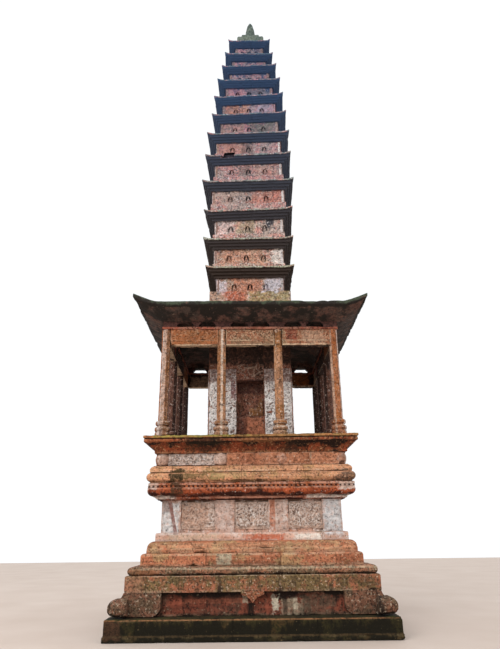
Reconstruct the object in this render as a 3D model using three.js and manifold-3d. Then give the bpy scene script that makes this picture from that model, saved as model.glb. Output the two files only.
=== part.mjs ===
// A square sandstone pagoda of thirteen eaves, 17.8 m tall.
// Units are millimetres. +Z is up, the front faces -Y, and the origin is the centre of the
// base on the ground. Widths are half-widths, from the tower's axis to a face.
// Bottom to top: a moulded base, a gallery of twelve columns round the first storey, and
// twelve low storeys with thin upturned eaves under a finial.

import * as THREE from 'three';
import { mergeVertices } from 'three/addons/utils/BufferGeometryUtils.js';
import Module from 'manifold-3d';

const wasm = await Module();
wasm.setup();

// Heights of the base courses, ground to gallery floor
const PLINTH_TOP = 366;
const FEET_TOP = 767;
const FASCIA_TOP = 1052;
const TORUS_TOP = 1206;
const STEP_LOWER_TOP = 1430;
const STEP_UPPER_TOP = 1650;
const SILL_TOP = 1800;
const DADO_TOP = 2430;
const LOTUS_TOP = 2770;
const ROLL_TOP = 3100;
const FRIEZE_TOP = 3360;
const FLOOR = 3695;

// Half-widths of the base courses
const PLINTH = 2665;
const FEET_OUTER = 2620;
const FEET_INNER = 1690;
const FEET_PANEL = 2250;
const FASCIA = 2380;
const TORUS = 2350;
const STEP_LOWER = 2145;
const STEP_UPPER = 2060;
const SILL = 1920;
const DADO = 1830;
const NECKING = 1920;
const LOTUS = 2100;
const LOTUS_GROOVE = 2070;
const ROLL = 2124;
const FRIEZE_PANEL = 1930;
const FRIEZE = 1980;
const CORNICE = 2217;

// Scroll feet and the drop that hangs from the middle of each fascia
const FOOT_HEEL_RADIUS = 180;
const FOOT_ROLL_RADIUS = 150;
const FOOT_ROLL_Z = 535;
const FOOT_SCROLL_INNER = 2280;
const PENDANT_HALF = 215;
const PENDANT_DROP = 184;

// Dado panels: three on each side between pilasters
const PANEL_HALF = 345;
const PANEL_CENTRES = [-1085, 0, 1085];
const PANEL_BOTTOM = 1860;
const PANEL_TOP = 2355;
const PANEL_DEPTH = 50;

// Gallery columns, four to a side
const COLUMN_OUTER = 1885;
const COLUMN_INNER = 632;
const COLUMN_TOP = 6098;
const SHAFT_BOTTOM_HALF = 95;
const SHAFT_TOP_HALF = 90;
const COLUMN_SIDES = 8;

// Architraves over the columns: beams, a projecting plate, and blocks with slots between
const BEAM_BOTTOM = 5720;
const PLATE_TOP = 6154;
const BLOCK_TOP = 6283;
const BEAM_HALF_THICK = 75;
const PLATE_HALF_THICK = 100;
const SLOT_HALF = 192;
const SLOT_CENTRES = [250, 970, 1470];
const SLOT_SHOULDER = 60;

// Gallery roof
const ROOF_EDGE = 2500;
const ROOF_EDGE_LOW = 6489;
const ROOF_EDGE_TOP = 6572;
const ROOF_UPTURN = 150;
const ROOF_TIP_REACH = 80;
const ROOF_HEAD_TOP = 6950;
const ROOF_UPTURN_START = 0.8;
const ROOF_OVERHANG_START = 1955;

// First storey, inside the gallery
const CORE = 980;
const CORE_TOP = 7000;
const NICHE_HALF = 313;
const NICHE_TOP = 5163;
const NICHE_DEPTH = 300;
const ALTAR_TOP = 4330;
const ALTAR_SETBACK = 70;

// Storeys 2 to 13: half-width of the eave, height of the top of its edge, and how far the
// tower's settling has moved the storey to its right and turned it, in degrees
const STOREYS = [
  { eave: 1120, edgeTop: 8132, right: 25, turned: 0 },
  { eave: 1155, edgeTop: 8934, right: 12, turned: -1 },
  { eave: 1160, edgeTop: 9795, right: 55, turned: -3 },
  { eave: 1218, edgeTop: 10672, right: 28, turned: -1.5 },
  { eave: 1170, edgeTop: 11561, right: 55, turned: -2.4 },
  { eave: 1142, edgeTop: 12321, right: 50, turned: -1.6 },
  { eave: 1060, edgeTop: 13078, right: 98, turned: -2.8 },
  { eave: 1002, edgeTop: 13787, right: 90, turned: -3 },
  { eave: 922, edgeTop: 14474, right: 80, turned: -1.2 },
  { eave: 823, edgeTop: 15125, right: 100, turned: -1.7 },
  { eave: 731, edgeTop: 15700, right: 65, turned: 1 },
  { eave: 648, edgeTop: 16334, right: 90, turned: 0 },
];
const EDGE_THICK = 45;
const EAVE_UPTURN = 25;
const EAVE_TIP_REACH = 10;
const EAVE_UPTURN_START = 0.8;
const ROOF_SLOPE = 0.45;
const OVERHANG_LOW = 264;
const OVERHANG_TOP = 218;
const CORBEL_LOW = 185;
const CORBEL_TOP = 90;
const CORBEL_STEPS = 3;
const WINDOW_ZONE_LOW = 425;
const WINDOW_ZONE_TOP = 285;
const BAND_LOW = 165;
const BAND = 42;

// Finial
const FINIAL_BASE = 420;
const FINIAL_BASE_TOP = 16760;
const FINIAL_RING = 250;
const FINIAL_RING_TOP = 17030;
const FINIAL_BULB = 148;
const FINIAL_RIGHT = 130;
const TIP = 17800;

// Joints
const JOINT = 0.5;

// Colours of the stone
const ROUGHNESS = 0.9;
const COLOURS = {
  plinth: 0x4a3a2c,
  feet: 0x6a4a38,
  fascia: 0x8a5a3c,
  torus: 0x86705a,
  steps: 0xa85a38,
  dado: 0xb89080,
  lotus: 0xa04c2c,
  roll: 0xb46c44,
  cornice: 0x70402c,
  column: 0xb8724a,
  beam: 0xb4633c,
  roof: 0x7a4434,
  core: 0x7a4436,
  tower: 0xb06a50,
  finial: 0x70705a,
};

// Underside of the gallery roof from the core out to the edge: half-width, height
const ROOF_UNDERSIDE = [
  [CORE + JOINT, 6420],
  [1700, 6355],
  [1760, BLOCK_TOP],
  [ROOF_OVERHANG_START, BLOCK_TOP],
  [2080, 6305],
  [2260, 6375],
  [2400, 6445],
  [ROOF_EDGE, ROOF_EDGE_LOW],
];

const SIDES = ['front', 'right', 'back', 'left'];
const pagoda = new THREE.Group();

function addPiece(name, geometry, stone) {
  const look = { color: COLOURS[stone], roughness: ROUGHNESS, metalness: 0 };
  const mesh = new THREE.Mesh(geometry, new THREE.MeshStandardMaterial(look));
  mesh.name = name;
  pagoda.add(mesh);
  return mesh;
}

// Solids: a geometry goes into a boolean and comes back
function solidOf(geometry) {
  const bare = geometry.clone();
  bare.deleteAttribute('normal');
  bare.deleteAttribute('uv');
  const merged = mergeVertices(bare, 1e-3);
  const mesh = new wasm.Mesh({
    numProp: 3,
    vertProperties: new Float32Array(merged.attributes.position.array),
    triVerts: new Uint32Array(merged.index.array),
  });
  return new wasm.Manifold(mesh);
}

function geometryOf(solid) {
  const mesh = solid.getMesh();
  const geometry = new THREE.BufferGeometry();
  geometry.setAttribute('position', new THREE.BufferAttribute(mesh.vertProperties, 3));
  geometry.setIndex(new THREE.BufferAttribute(mesh.triVerts, 1));
  geometry.computeVertexNormals();
  return geometry;
}

function joined(solids) {
  return solids.reduce((whole, next) => whole.add(next));
}

function turnedCopies(geometry) {
  return SIDES.map((_, turn) => solidOf(geometry.clone().rotateZ((turn * Math.PI) / 2)));
}

// Shapes
function block(xLow, xHigh, yLow, yHigh, zLow, zHigh) {
  const box = new THREE.BoxGeometry(xHigh - xLow, yHigh - yLow, zHigh - zLow);
  box.translate((xLow + xHigh) / 2, (yLow + yHigh) / 2, (zLow + zHigh) / 2);
  return box;
}

function arc(centreX, centreZ, radius, fromDegrees, toDegrees, steps) {
  return Array.from({ length: steps + 1 }, (_, i) => {
    const angle = THREE.MathUtils.degToRad(fromDegrees + ((toDegrees - fromDegrees) * i) / steps);
    return [centreX + radius * Math.cos(angle), centreZ + radius * Math.sin(angle)];
  });
}

// An outline turned about the axis and then drawn out square: the radius of each ring
// becomes the half-width of a square. A third number lifts that ring's corners.
function squareTurned(outline, stations = [-1], reach = 0) {
  const points = outline.map(([half, z]) => new THREE.Vector2(half, z));
  const perSide = stations.length;
  const geometry = new THREE.LatheGeometry(points, 4 * perSide);
  const position = geometry.attributes.position;
  for (let column = 0; column <= 4 * perSide; column += 1) {
    const side = Math.floor(column / perSide) % 4;
    const along = stations[column % perSide];
    const corner = cornerRamp(along, stations);
    outline.forEach(([half, z, lift = 0], ring) => {
      const wide = half + (lift > 0 ? reach * corner : 0);
      const plan = new THREE.Vector2(along * wide, -wide);
      plan.rotateAround(new THREE.Vector2(0, 0), (side * Math.PI) / 2);
      position.setXYZ(column * outline.length + ring, plan.x, plan.y, z + lift * corner);
    });
  }
  return geometry;
}

function cornerRamp(along, stations) {
  const start = stations.length > 1 ? Math.abs(stations[1]) : 1;
  if (Math.abs(along) <= start) return 0;
  const ramp = (Math.abs(along) - start) / (1 - start);
  return ramp * ramp;
}

function course(bottom, top, edge) {
  return squareTurned([[0, bottom], ...edge, [0, top]]);
}

// Base. A foot is two outlines crossed; its scroll stands out only at the corner, and its
// two faces are dressed flush with the fascia.
function footOutline() {
  const outline = new THREE.Shape();
  const heelX = FEET_INNER + FOOT_HEEL_RADIUS;
  const heel = arc(heelX, PLINTH_TOP + FOOT_HEEL_RADIUS, FOOT_HEEL_RADIUS, 180, 270, 5);
  const roll = arc(FEET_OUTER - FOOT_ROLL_RADIUS, FOOT_ROLL_Z, FOOT_ROLL_RADIUS, -110, 110, 10);
  const points = [[FEET_INNER, FEET_TOP], ...heel, [FASCIA, PLINTH_TOP], ...roll, [FASCIA, FEET_TOP]];
  outline.setFromPoints(points.map(([x, z]) => new THREE.Vector2(x, z)));
  return outline;
}

function cornerFoot() {
  const length = FEET_OUTER - FEET_INNER;
  const across = new THREE.ExtrudeGeometry(footOutline(), { depth: length, bevelEnabled: false });
  across.rotateX(Math.PI / 2);
  across.translate(0, -FEET_INNER, 0);
  const along = new THREE.ExtrudeGeometry(footOutline(), { depth: length, bevelEnabled: false });
  along.rotateX(Math.PI / 2);
  along.rotateZ(-Math.PI / 2);
  along.translate(FEET_INNER + length, 0, 0);
  const crossed = solidOf(across).intersect(solidOf(along));
  const outside = FEET_OUTER + 10;
  const front = block(0, FOOT_SCROLL_INNER, -outside, -FASCIA, PLINTH_TOP - 10, FEET_TOP + 10);
  const side = block(FASCIA, outside, -FOOT_SCROLL_INNER, 0, PLINTH_TOP - 10, FEET_TOP + 10);
  return crossed.subtract(joined([front, side].map(solidOf)));
}

function footCourse() {
  const core = solidOf(course(PLINTH_TOP, FEET_TOP, [[FEET_PANEL, PLINTH_TOP], [FEET_PANEL, FEET_TOP]]));
  const foot = cornerFoot();
  const feet = SIDES.map((_, turn) => foot.rotate([0, 0, 90 * turn]));
  return geometryOf(joined([core, ...feet]));
}

function fasciaCourse() {
  const band = course(FEET_TOP, FASCIA_TOP, [[FASCIA, FEET_TOP], [FASCIA, FASCIA_TOP]]);
  const bedded = FEET_TOP + 20;
  const shoulder = FEET_TOP - 0.25 * PENDANT_DROP;
  const waist = FEET_TOP - 0.45 * PENDANT_DROP;
  const waistHalf = 0.45 * PENDANT_HALF;
  const drop = new THREE.Shape();
  drop.moveTo(-PENDANT_HALF, bedded);
  drop.lineTo(-PENDANT_HALF, shoulder);
  drop.quadraticCurveTo(-waistHalf, waist, 0, FEET_TOP - PENDANT_DROP);
  drop.quadraticCurveTo(waistHalf, waist, PENDANT_HALF, shoulder);
  drop.lineTo(PENDANT_HALF, bedded);
  const pendant = new THREE.ExtrudeGeometry(drop, {
    depth: FASCIA - FEET_PANEL, bevelEnabled: false, curveSegments: 4,
  });
  pendant.rotateX(Math.PI / 2);
  pendant.translate(0, -FEET_PANEL, 0);
  return geometryOf(joined([solidOf(band), ...turnedCopies(pendant)]));
}

function torusCourse() {
  const height = TORUS_TOP - FASCIA_TOP;
  const nose = arc(TORUS - height / 2, FASCIA_TOP + height / 2, height / 2, -60, 75, 6);
  return course(FASCIA_TOP, TORUS_TOP, [[TORUS - 60, FASCIA_TOP], ...nose, [TORUS - 90, TORUS_TOP]]);
}

function stepLower() {
  const rounding = 50;
  const edge = arc(STEP_LOWER - rounding, STEP_LOWER_TOP - rounding, rounding, 0, 90, 4);
  return course(TORUS_TOP, STEP_LOWER_TOP, [[STEP_LOWER, TORUS_TOP], ...edge]);
}

function stepUpper() {
  const fillet = 50;
  const rounding = 120;
  const edge = arc(STEP_UPPER - rounding, STEP_UPPER_TOP - rounding, rounding, 0, 90, 5);
  return course(STEP_LOWER_TOP, STEP_UPPER_TOP, [
    [STEP_UPPER, STEP_LOWER_TOP], [STEP_UPPER, STEP_LOWER_TOP + fillet], ...edge,
  ]);
}

function dadoCourse() {
  const body = solidOf(course(STEP_UPPER_TOP, DADO_TOP, [
    [SILL, STEP_UPPER_TOP], [SILL, SILL_TOP], [DADO, SILL_TOP], [DADO, DADO_TOP],
  ]));
  const panels = PANEL_CENTRES.flatMap((centre) => turnedCopies(
    block(
      centre - PANEL_HALF, centre + PANEL_HALF, -DADO - 10, -DADO + PANEL_DEPTH,
      PANEL_BOTTOM, PANEL_TOP,
    ),
  ));
  return geometryOf(body.subtract(joined(panels)));
}

function lotusCourse() {
  const neckTop = DADO_TOP + 70;
  const bowl = arc(LOTUS - 150, neckTop + 160, 150, -75, 0, 5);
  return course(DADO_TOP, LOTUS_TOP, [
    [NECKING, DADO_TOP], [NECKING, neckTop], ...bowl, [LOTUS, LOTUS_TOP - 60],
    [LOTUS_GROOVE, LOTUS_TOP - 55], [LOTUS_GROOVE, LOTUS_TOP],
  ]);
}

function rollCourse() {
  const lower = arc(ROLL - 95, LOTUS_TOP + 95, 95, -75, 45, 6);
  const upper = arc(ROLL - 160, ROLL_TOP - 110, 110, 20, 80, 4);
  return course(LOTUS_TOP, ROLL_TOP, [
    [LOTUS_GROOVE, LOTUS_TOP], ...lower, ...upper, [FRIEZE + 20, ROLL_TOP],
  ]);
}

function friezeCourse() {
  const wall = solidOf(course(ROLL_TOP, FRIEZE_TOP, [
    [FRIEZE_PANEL, ROLL_TOP], [FRIEZE_PANEL, FRIEZE_TOP],
  ]));
  const belly = 130;
  const end = 100;
  const height = FRIEZE_TOP - ROLL_TOP;
  const outline = [
    [0, 0], [end, 0], [belly, 0.3 * height], [belly, 0.7 * height], [end, height], [0, height],
  ];
  const drum = new THREE.LatheGeometry(outline.map(([r, z]) => new THREE.Vector2(r, z)), 12);
  drum.rotateX(Math.PI / 2);
  const place = FRIEZE - belly;
  const drums = [place, COLUMN_INNER, -COLUMN_INNER].flatMap((x) => (
    turnedCopies(drum.clone().translate(x, -place, ROLL_TOP))
  ));
  return geometryOf(joined([wall, ...drums]));
}

function corniceFloor() {
  const foot = FRIEZE_TOP + 40;
  const coveTop = FLOOR - 95;
  const cove = Array.from({ length: 5 }, (_, i) => {
    const rise = i / 4;
    return [FRIEZE + 20 + (CORNICE - FRIEZE - 50) * rise ** 1.6, foot + (coveTop - foot) * rise];
  });
  return course(FRIEZE_TOP, FLOOR, [
    [FRIEZE + 20, FRIEZE_TOP], ...cove, [CORNICE, coveTop], [CORNICE, FLOOR],
  ]);
}

// Gallery
function column() {
  const facet = Math.cos(Math.PI / COLUMN_SIDES);
  const bell = [[0, 0], [165, 0], [150, 120], [138, 185]];
  const ring = [[114, 212], [114, 242], [136, 265], [134, 325]];
  const height = COLUMN_TOP - FLOOR;
  const outline = [...bell, ...ring, [SHAFT_BOTTOM_HALF, 345], [SHAFT_TOP_HALF, height], [0, height]];
  const points = outline.map(([half, z]) => new THREE.Vector2(half / facet, z));
  const geometry = new THREE.LatheGeometry(points, COLUMN_SIDES, Math.PI / COLUMN_SIDES);
  return geometry.rotateX(Math.PI / 2);
}

function columns() {
  SIDES.forEach((side, turn) => {
    const corner = new THREE.Vector2(COLUMN_OUTER, -COLUMN_OUTER);
    const places = [
      [`column_corner_${side}_${SIDES[(turn + 1) % 4]}`, corner],
      [`column_${side}_1`, new THREE.Vector2(-COLUMN_INNER, -COLUMN_OUTER)],
      [`column_${side}_2`, new THREE.Vector2(COLUMN_INNER, -COLUMN_OUTER)],
    ];
    places.forEach(([name, plan]) => {
      plan.rotateAround(new THREE.Vector2(0, 0), (turn * Math.PI) / 2);
      addPiece(name, column(), 'column').position.set(plan.x, plan.y, FLOOR);
    });
  });
}

function architrave(plateHalf) {
  const clearance = SHAFT_BOTTOM_HALF + 2;
  const outerEnd = COLUMN_OUTER - PLATE_HALF_THICK - JOINT;
  const spans = [
    [-outerEnd, -COLUMN_INNER - clearance],
    [-COLUMN_INNER + clearance, COLUMN_INNER - clearance],
    [COLUMN_INNER + clearance, outerEnd],
  ];
  const beamOuter = -COLUMN_OUTER - BEAM_HALF_THICK;
  const beamInner = -COLUMN_OUTER + BEAM_HALF_THICK;
  const plateOuter = -COLUMN_OUTER - PLATE_HALF_THICK;
  const plateInner = -COLUMN_OUTER + PLATE_HALF_THICK;
  const beams = spans.map(([from, to]) => (
    block(from, to, beamOuter, beamInner, BEAM_BOTTOM, COLUMN_TOP + 10)
  ));
  const plate = block(-plateHalf, plateHalf, plateOuter, plateInner, COLUMN_TOP, PLATE_TOP);
  const blocks = block(-plateHalf, plateHalf, beamOuter, beamInner, PLATE_TOP - 10, BLOCK_TOP);
  const slot = new THREE.Shape();
  const head = BLOCK_TOP + 10;
  slot.setFromPoints([
    [-SLOT_HALF, PLATE_TOP], [SLOT_HALF, PLATE_TOP], [SLOT_HALF, PLATE_TOP + SLOT_SHOULDER],
    [0.6 * SLOT_HALF, head], [-0.6 * SLOT_HALF, head], [-SLOT_HALF, PLATE_TOP + SLOT_SHOULDER],
  ].map(([x, z]) => new THREE.Vector2(x, z)));
  const cutter = new THREE.ExtrudeGeometry(slot, { depth: 4 * BEAM_HALF_THICK, bevelEnabled: false });
  cutter.rotateX(Math.PI / 2);
  cutter.translate(0, -COLUMN_OUTER + 2 * BEAM_HALF_THICK, 0);
  const places = SLOT_CENTRES.flatMap((x) => [x, -x]);
  const slots = places.map((x) => solidOf(cutter.clone().translate(x, 0, 0)));
  const pierced = solidOf(blocks).subtract(joined(slots));
  return geometryOf(joined([...beams.map(solidOf), solidOf(plate), pierced]));
}

function architraves() {
  SIDES.forEach((side, turn) => {
    const longSide = turn % 2 === 0;
    const half = COLUMN_OUTER + (longSide ? PLATE_HALF_THICK : -PLATE_HALF_THICK - JOINT);
    addPiece(`architrave_${side}`, architrave(half), 'beam').rotation.z = (turn * Math.PI) / 2;
  });
}

// Gallery roof: four slabs that meet on the hips. A slab is a grid, along the side and
// out from the wall, bent to the underside and the top.
function roofSlab() {
  const lengthSteps = 12;
  const acrossSteps = ROOF_UNDERSIDE.length - 1;
  const slab = new THREE.BoxGeometry(2, acrossSteps, 1, lengthSteps, acrossSteps, 1);
  const position = slab.attributes.position;
  for (let i = 0; i < position.count; i += 1) {
    const along = position.getX(i);
    const step = Math.round(acrossSteps / 2 - position.getY(i));
    const upper = position.getZ(i) > 0;
    const [half, low] = ROOF_UNDERSIDE[step];
    const out = (half - CORE) / (ROOF_EDGE - CORE);
    const top = ROOF_HEAD_TOP + (ROOF_EDGE_TOP - ROOF_HEAD_TOP) * out ** 0.8;
    const ramp = Math.max(0, (Math.abs(along) - ROOF_UPTURN_START) / (1 - ROOF_UPTURN_START)) ** 2;
    const flare = ramp * Math.max(0, (half - ROOF_OVERHANG_START) / (ROOF_EDGE - ROOF_OVERHANG_START));
    const wide = half + ROOF_TIP_REACH * flare;
    const z = (upper ? top : low) + ROOF_UPTURN * flare;
    position.setXYZ(i, along * (wide - JOINT), -wide, z);
  }
  return slab;
}

function galleryRoof() {
  SIDES.forEach((side, turn) => {
    addPiece(`gallery_roof_${side}`, roofSlab(), 'roof').rotation.z = (turn * Math.PI) / 2;
  });
}

function firstStoreyCore() {
  const body = solidOf(course(FLOOR, CORE_TOP, [[CORE, FLOOR], [CORE, CORE_TOP]]));
  const outside = -CORE - 10;
  const altar = -CORE + ALTAR_SETBACK;
  const niche = block(-NICHE_HALF, NICHE_HALF, outside, -CORE + NICHE_DEPTH, ALTAR_TOP, NICHE_TOP);
  const altarFront = block(-NICHE_HALF, NICHE_HALF, outside, altar, FLOOR - 10, ALTAR_TOP + 10);
  return geometryOf(body.subtract(joined([...turnedCopies(niche), ...turnedCopies(altarFront)])));
}

// Upper storeys: a wall with a plain band at its foot, stepped corbels and a thin eave
function mix(low, top, index) {
  return low + ((top - low) * index) / (STOREYS.length - 1);
}

function storeySizes(index) {
  const { eave, edgeTop } = STOREYS[index];
  const wall = eave - mix(OVERHANG_LOW, OVERHANG_TOP, index);
  const edgeLow = edgeTop - EDGE_THICK;
  const soffit = edgeLow - mix(CORBEL_LOW, CORBEL_TOP, index);
  const bandTop = soffit - mix(WINDOW_ZONE_LOW, WINDOW_ZONE_TOP, index);
  const band = wall + (index === 0 ? BAND_LOW : BAND);
  return { eave, edgeTop, edgeLow, wall, soffit, bandTop, band };
}

function seatOver(index) {
  const below = storeySizes(index);
  const above = index + 1 < STOREYS.length ? storeySizes(index + 1).band : FINIAL_BASE;
  return { half: above, z: below.edgeTop + ROOF_SLOPE * (below.eave - above) };
}

function storey(index) {
  const { eave, edgeTop, edgeLow, wall, soffit, bandTop, band } = storeySizes(index);
  const bottom = index === 0 ? CORE_TOP : seatOver(index - 1).z;
  const seat = seatOver(index);
  const stepOut = (eave - wall) / (CORBEL_STEPS + 1);
  const stepUp = (edgeLow - soffit) / CORBEL_STEPS;
  const corbels = Array.from({ length: CORBEL_STEPS }, (_, i) => {
    const half = wall + stepOut * (i + 1);
    return [[half, soffit + stepUp * i], [half, soffit + stepUp * (i + 1)]];
  }).flat();
  const outline = [
    [0, bottom], [band, bottom], [band, bandTop], [wall, bandTop], [wall, soffit], ...corbels,
    [eave, edgeLow, EAVE_UPTURN], [eave, edgeTop, EAVE_UPTURN], [seat.half, seat.z], [0, seat.z],
  ];
  return squareTurned(outline, [-1, -EAVE_UPTURN_START, EAVE_UPTURN_START], EAVE_TIP_REACH);
}

function storeys() {
  STOREYS.forEach(({ right, turned }, index) => {
    const name = `storey_${String(index + 2).padStart(2, '0')}`;
    const piece = addPiece(name, storey(index), 'tower');
    piece.position.x = right;
    piece.rotation.z = THREE.MathUtils.degToRad(turned);
  });
}

function finial() {
  const bottom = seatOver(STOREYS.length - 1).z;
  const base = squareTurned([
    [0, bottom], [FINIAL_BASE, bottom], [FINIAL_BASE, FINIAL_BASE_TOP - 60],
    [FINIAL_BASE - 50, FINIAL_BASE_TOP], [FINIAL_RING, FINIAL_BASE_TOP],
    [FINIAL_RING, FINIAL_RING_TOP], [0, FINIAL_RING_TOP],
  ]);
  const height = TIP - FINIAL_RING_TOP;
  const sunk = -20 / height;
  const outline = [
    [0, sunk], [0.75, sunk], [0.95, 0.2], [1, 0.45], [0.93, 0.65], [0.7, 0.83], [0.38, 0.95], [0, 1],
  ];
  const points = outline.map(([r, z]) => new THREE.Vector2(r * FINIAL_BULB, z * height));
  const bulb = new THREE.LatheGeometry(points, 12);
  bulb.rotateX(Math.PI / 2);
  bulb.translate(0, 0, FINIAL_RING_TOP);
  return geometryOf(solidOf(base).add(solidOf(bulb)));
}

addPiece('base_plinth', course(0, PLINTH_TOP, [[PLINTH, 0], [PLINTH, PLINTH_TOP]]), 'plinth');
addPiece('foot_course', footCourse(), 'feet');
addPiece('fascia_course', fasciaCourse(), 'fascia');
addPiece('torus_course', torusCourse(), 'torus');
addPiece('step_course_lower', stepLower(), 'steps');
addPiece('step_course_upper', stepUpper(), 'steps');
addPiece('dado_course', dadoCourse(), 'dado');
addPiece('lotus_course', lotusCourse(), 'lotus');
addPiece('roll_course', rollCourse(), 'roll');
addPiece('frieze_course', friezeCourse(), 'roll');
addPiece('cornice_floor', corniceFloor(), 'cornice');
columns();
architraves();
galleryRoof();
addPiece('first_storey_core', firstStoreyCore(), 'core');
storeys();
addPiece('finial', finial(), 'finial').position.x = FINIAL_RIGHT;

export default pagoda;
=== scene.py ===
# %% [markdown]
# # A square sandstone pagoda
# The object is a stone tower of thirteen eaves on a moulded base, with a gallery of twelve
# columns round its first storey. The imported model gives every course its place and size. This
# script dresses those courses: it rounds and chips their edges, cuts their joints, adds the
# carving, and gives each course the colours of its own weathering.

import math
import random

import bmesh
import bpy
from mathutils import Matrix, Vector


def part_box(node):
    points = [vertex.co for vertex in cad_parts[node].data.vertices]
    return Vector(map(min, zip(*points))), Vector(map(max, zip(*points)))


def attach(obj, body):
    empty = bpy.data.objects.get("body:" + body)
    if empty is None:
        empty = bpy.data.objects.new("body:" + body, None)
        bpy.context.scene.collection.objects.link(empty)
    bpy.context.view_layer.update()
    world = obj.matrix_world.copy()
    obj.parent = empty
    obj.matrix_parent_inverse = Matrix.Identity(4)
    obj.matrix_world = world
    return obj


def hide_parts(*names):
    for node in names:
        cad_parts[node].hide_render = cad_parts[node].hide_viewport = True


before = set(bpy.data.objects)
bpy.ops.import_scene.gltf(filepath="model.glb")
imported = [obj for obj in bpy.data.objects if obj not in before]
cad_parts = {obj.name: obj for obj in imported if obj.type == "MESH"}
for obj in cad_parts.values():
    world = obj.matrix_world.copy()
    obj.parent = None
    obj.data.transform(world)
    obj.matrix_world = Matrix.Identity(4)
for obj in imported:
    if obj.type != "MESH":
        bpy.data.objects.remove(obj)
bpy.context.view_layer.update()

# %% [markdown]
# The photograph was taken at eye height, about eleven metres in front of the base, looking
# up. A level camera with a shift would keep the verticals upright, but the photograph's lean
# inwards, so the camera is pitched up instead. It also rolled by less than a degree.

# %% Camera
PHOTO_SIZE = (500, 649)
FOCAL_PIXELS = 547.9
SENSOR = 36.0
EYE = Vector((0.011, -13.588, 1.757))
PITCH = 0.3661
ROLL = -0.0118

camera = bpy.data.objects.new("camera", bpy.data.cameras.new("camera"))
bpy.context.scene.collection.objects.link(camera)
camera.data.sensor_width = SENSOR
camera.data.lens = FOCAL_PIXELS * SENSOR / max(PHOTO_SIZE)
turn = Matrix.Rotation(math.pi / 2 + PITCH, 4, "X") @ Matrix.Rotation(ROLL, 4, "Z")
camera.matrix_world = Matrix.Translation(EYE) @ turn
bpy.context.scene.camera = camera
print("lens", round(camera.data.lens, 2), "mm")

# %% [markdown]
# The sky in the photograph is a bright even white, which lights stone softly from all round
# and leaves the undersides of the eaves dark. A pale world does that here, and one broad
# lamp at the upper left gives the mouldings a slight edge.

# %% Light
scene = bpy.context.scene
scene.view_settings.view_transform = "Standard"
SKY = (0.97, 0.985, 1.0, 1.0)
SKY_STRENGTH = 1.05
LAMP_PLACE = Vector((-9.0, -16.0, 15.0))
LAMP_TARGET = Vector((0.0, 0.0, 6.0))
LAMP_SIZE = 9.0
LAMP_POWER = 1600

world = bpy.data.worlds.new("pale_sky")
world.use_nodes = True
world.node_tree.nodes["Background"].inputs["Color"].default_value = SKY
world.node_tree.nodes["Background"].inputs["Strength"].default_value = SKY_STRENGTH
scene.world = world

lamp = bpy.data.objects.new("broad_lamp", bpy.data.lights.new("broad_lamp", "AREA"))
scene.collection.objects.link(lamp)
lamp.data.size = LAMP_SIZE
lamp.data.energy = LAMP_POWER
lamp.matrix_world = Matrix.Translation(LAMP_PLACE) @ (
    (LAMP_TARGET - LAMP_PLACE).to_track_quat("-Z", "Y").to_matrix().to_4x4()
)
print("lamp", LAMP_SIZE, "m wide,", round((LAMP_TARGET - LAMP_PLACE).length, 1), "m off")

# %% [markdown]
# Shader trees and geometry trees are built with the same few calls, so the helpers come
# first. One adds a node and feeds it, and the others are the sums that recur.

# %% Helpers for node trees
def add(tree, kind, wires=(), **settings):
    """Adds a node, sets it, and feeds its inputs, which are given in order or by name."""
    made = tree.nodes.new(kind)
    for label, value in settings.items():
        setattr(made, label, value)
    pairs = wires.items() if isinstance(wires, dict) else enumerate(wires)
    for key, value in pairs:
        if isinstance(value, bpy.types.NodeSocket):
            tree.links.new(value, made.inputs[key])
        elif value is not None:
            made.inputs[key].default_value = value
    return made


def ports(tree, side, rows):
    """Gives a group its named inputs or outputs, and returns them as the group sees them."""
    for label, kind, value in rows:
        socket = tree.interface.new_socket(label, in_out=side, socket_type="NodeSocket" + kind)
        if value is not None:
            socket.default_value = value
    if side == "INPUT":
        return add(tree, "NodeGroupInput").outputs
    return add(tree, "NodeGroupOutput").inputs


def arith(tree, operation, *values):
    return add(tree, "ShaderNodeMath", values, operation=operation).outputs[0]


def chained(operation):
    def total(tree, first, *others):
        for other in others:
            first = arith(tree, operation, first, other)
        return first
    return total


plus, minus = chained("ADD"), chained("SUBTRACT")
times, over = chained("MULTIPLY"), chained("DIVIDE")
least, most = chained("MINIMUM"), chained("MAXIMUM")


def times_plus(tree, first, second, third):
    return arith(tree, "MULTIPLY_ADD", first, second, third)


def size_of(tree, value):
    return arith(tree, "ABSOLUTE", value)


def arrow(tree, operation, *values):
    return add(tree, "ShaderNodeVectorMath", values, operation=operation).outputs[0]


def scaled(tree, vector, factor):
    return add(tree, "ShaderNodeVectorMath", {0: vector, "Scale": factor}, operation="SCALE").outputs[0]


def joined(tree, x, y, z):
    return add(tree, "ShaderNodeCombineXYZ", (x, y, z)).outputs[0]


def split(tree, vector):
    return add(tree, "ShaderNodeSeparateXYZ", (vector,)).outputs


def ramp(tree, value, low, high, to_low=0.0, to_high=1.0):
    """Takes the value from the range low to high, softly, to another range."""
    wires = (value, low, high, to_low, to_high)
    return add(tree, "ShaderNodeMapRange", wires, interpolation_type="SMOOTHSTEP").outputs[0]


def noise(tree, place, scale, detail=4.0, roughness=0.55, seed=0.0):
    """Cloudy noise, stretched so that it nearly fills the range 0 to 1."""
    wires = {"Vector": place, "W": seed, "Scale": scale, "Detail": detail, "Roughness": roughness}
    cloud = add(tree, "ShaderNodeTexNoise", wires, noise_dimensions="4D").outputs[0]
    return add(tree, "ShaderNodeMapRange", (cloud, 0.28, 0.72)).outputs[0]
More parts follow.
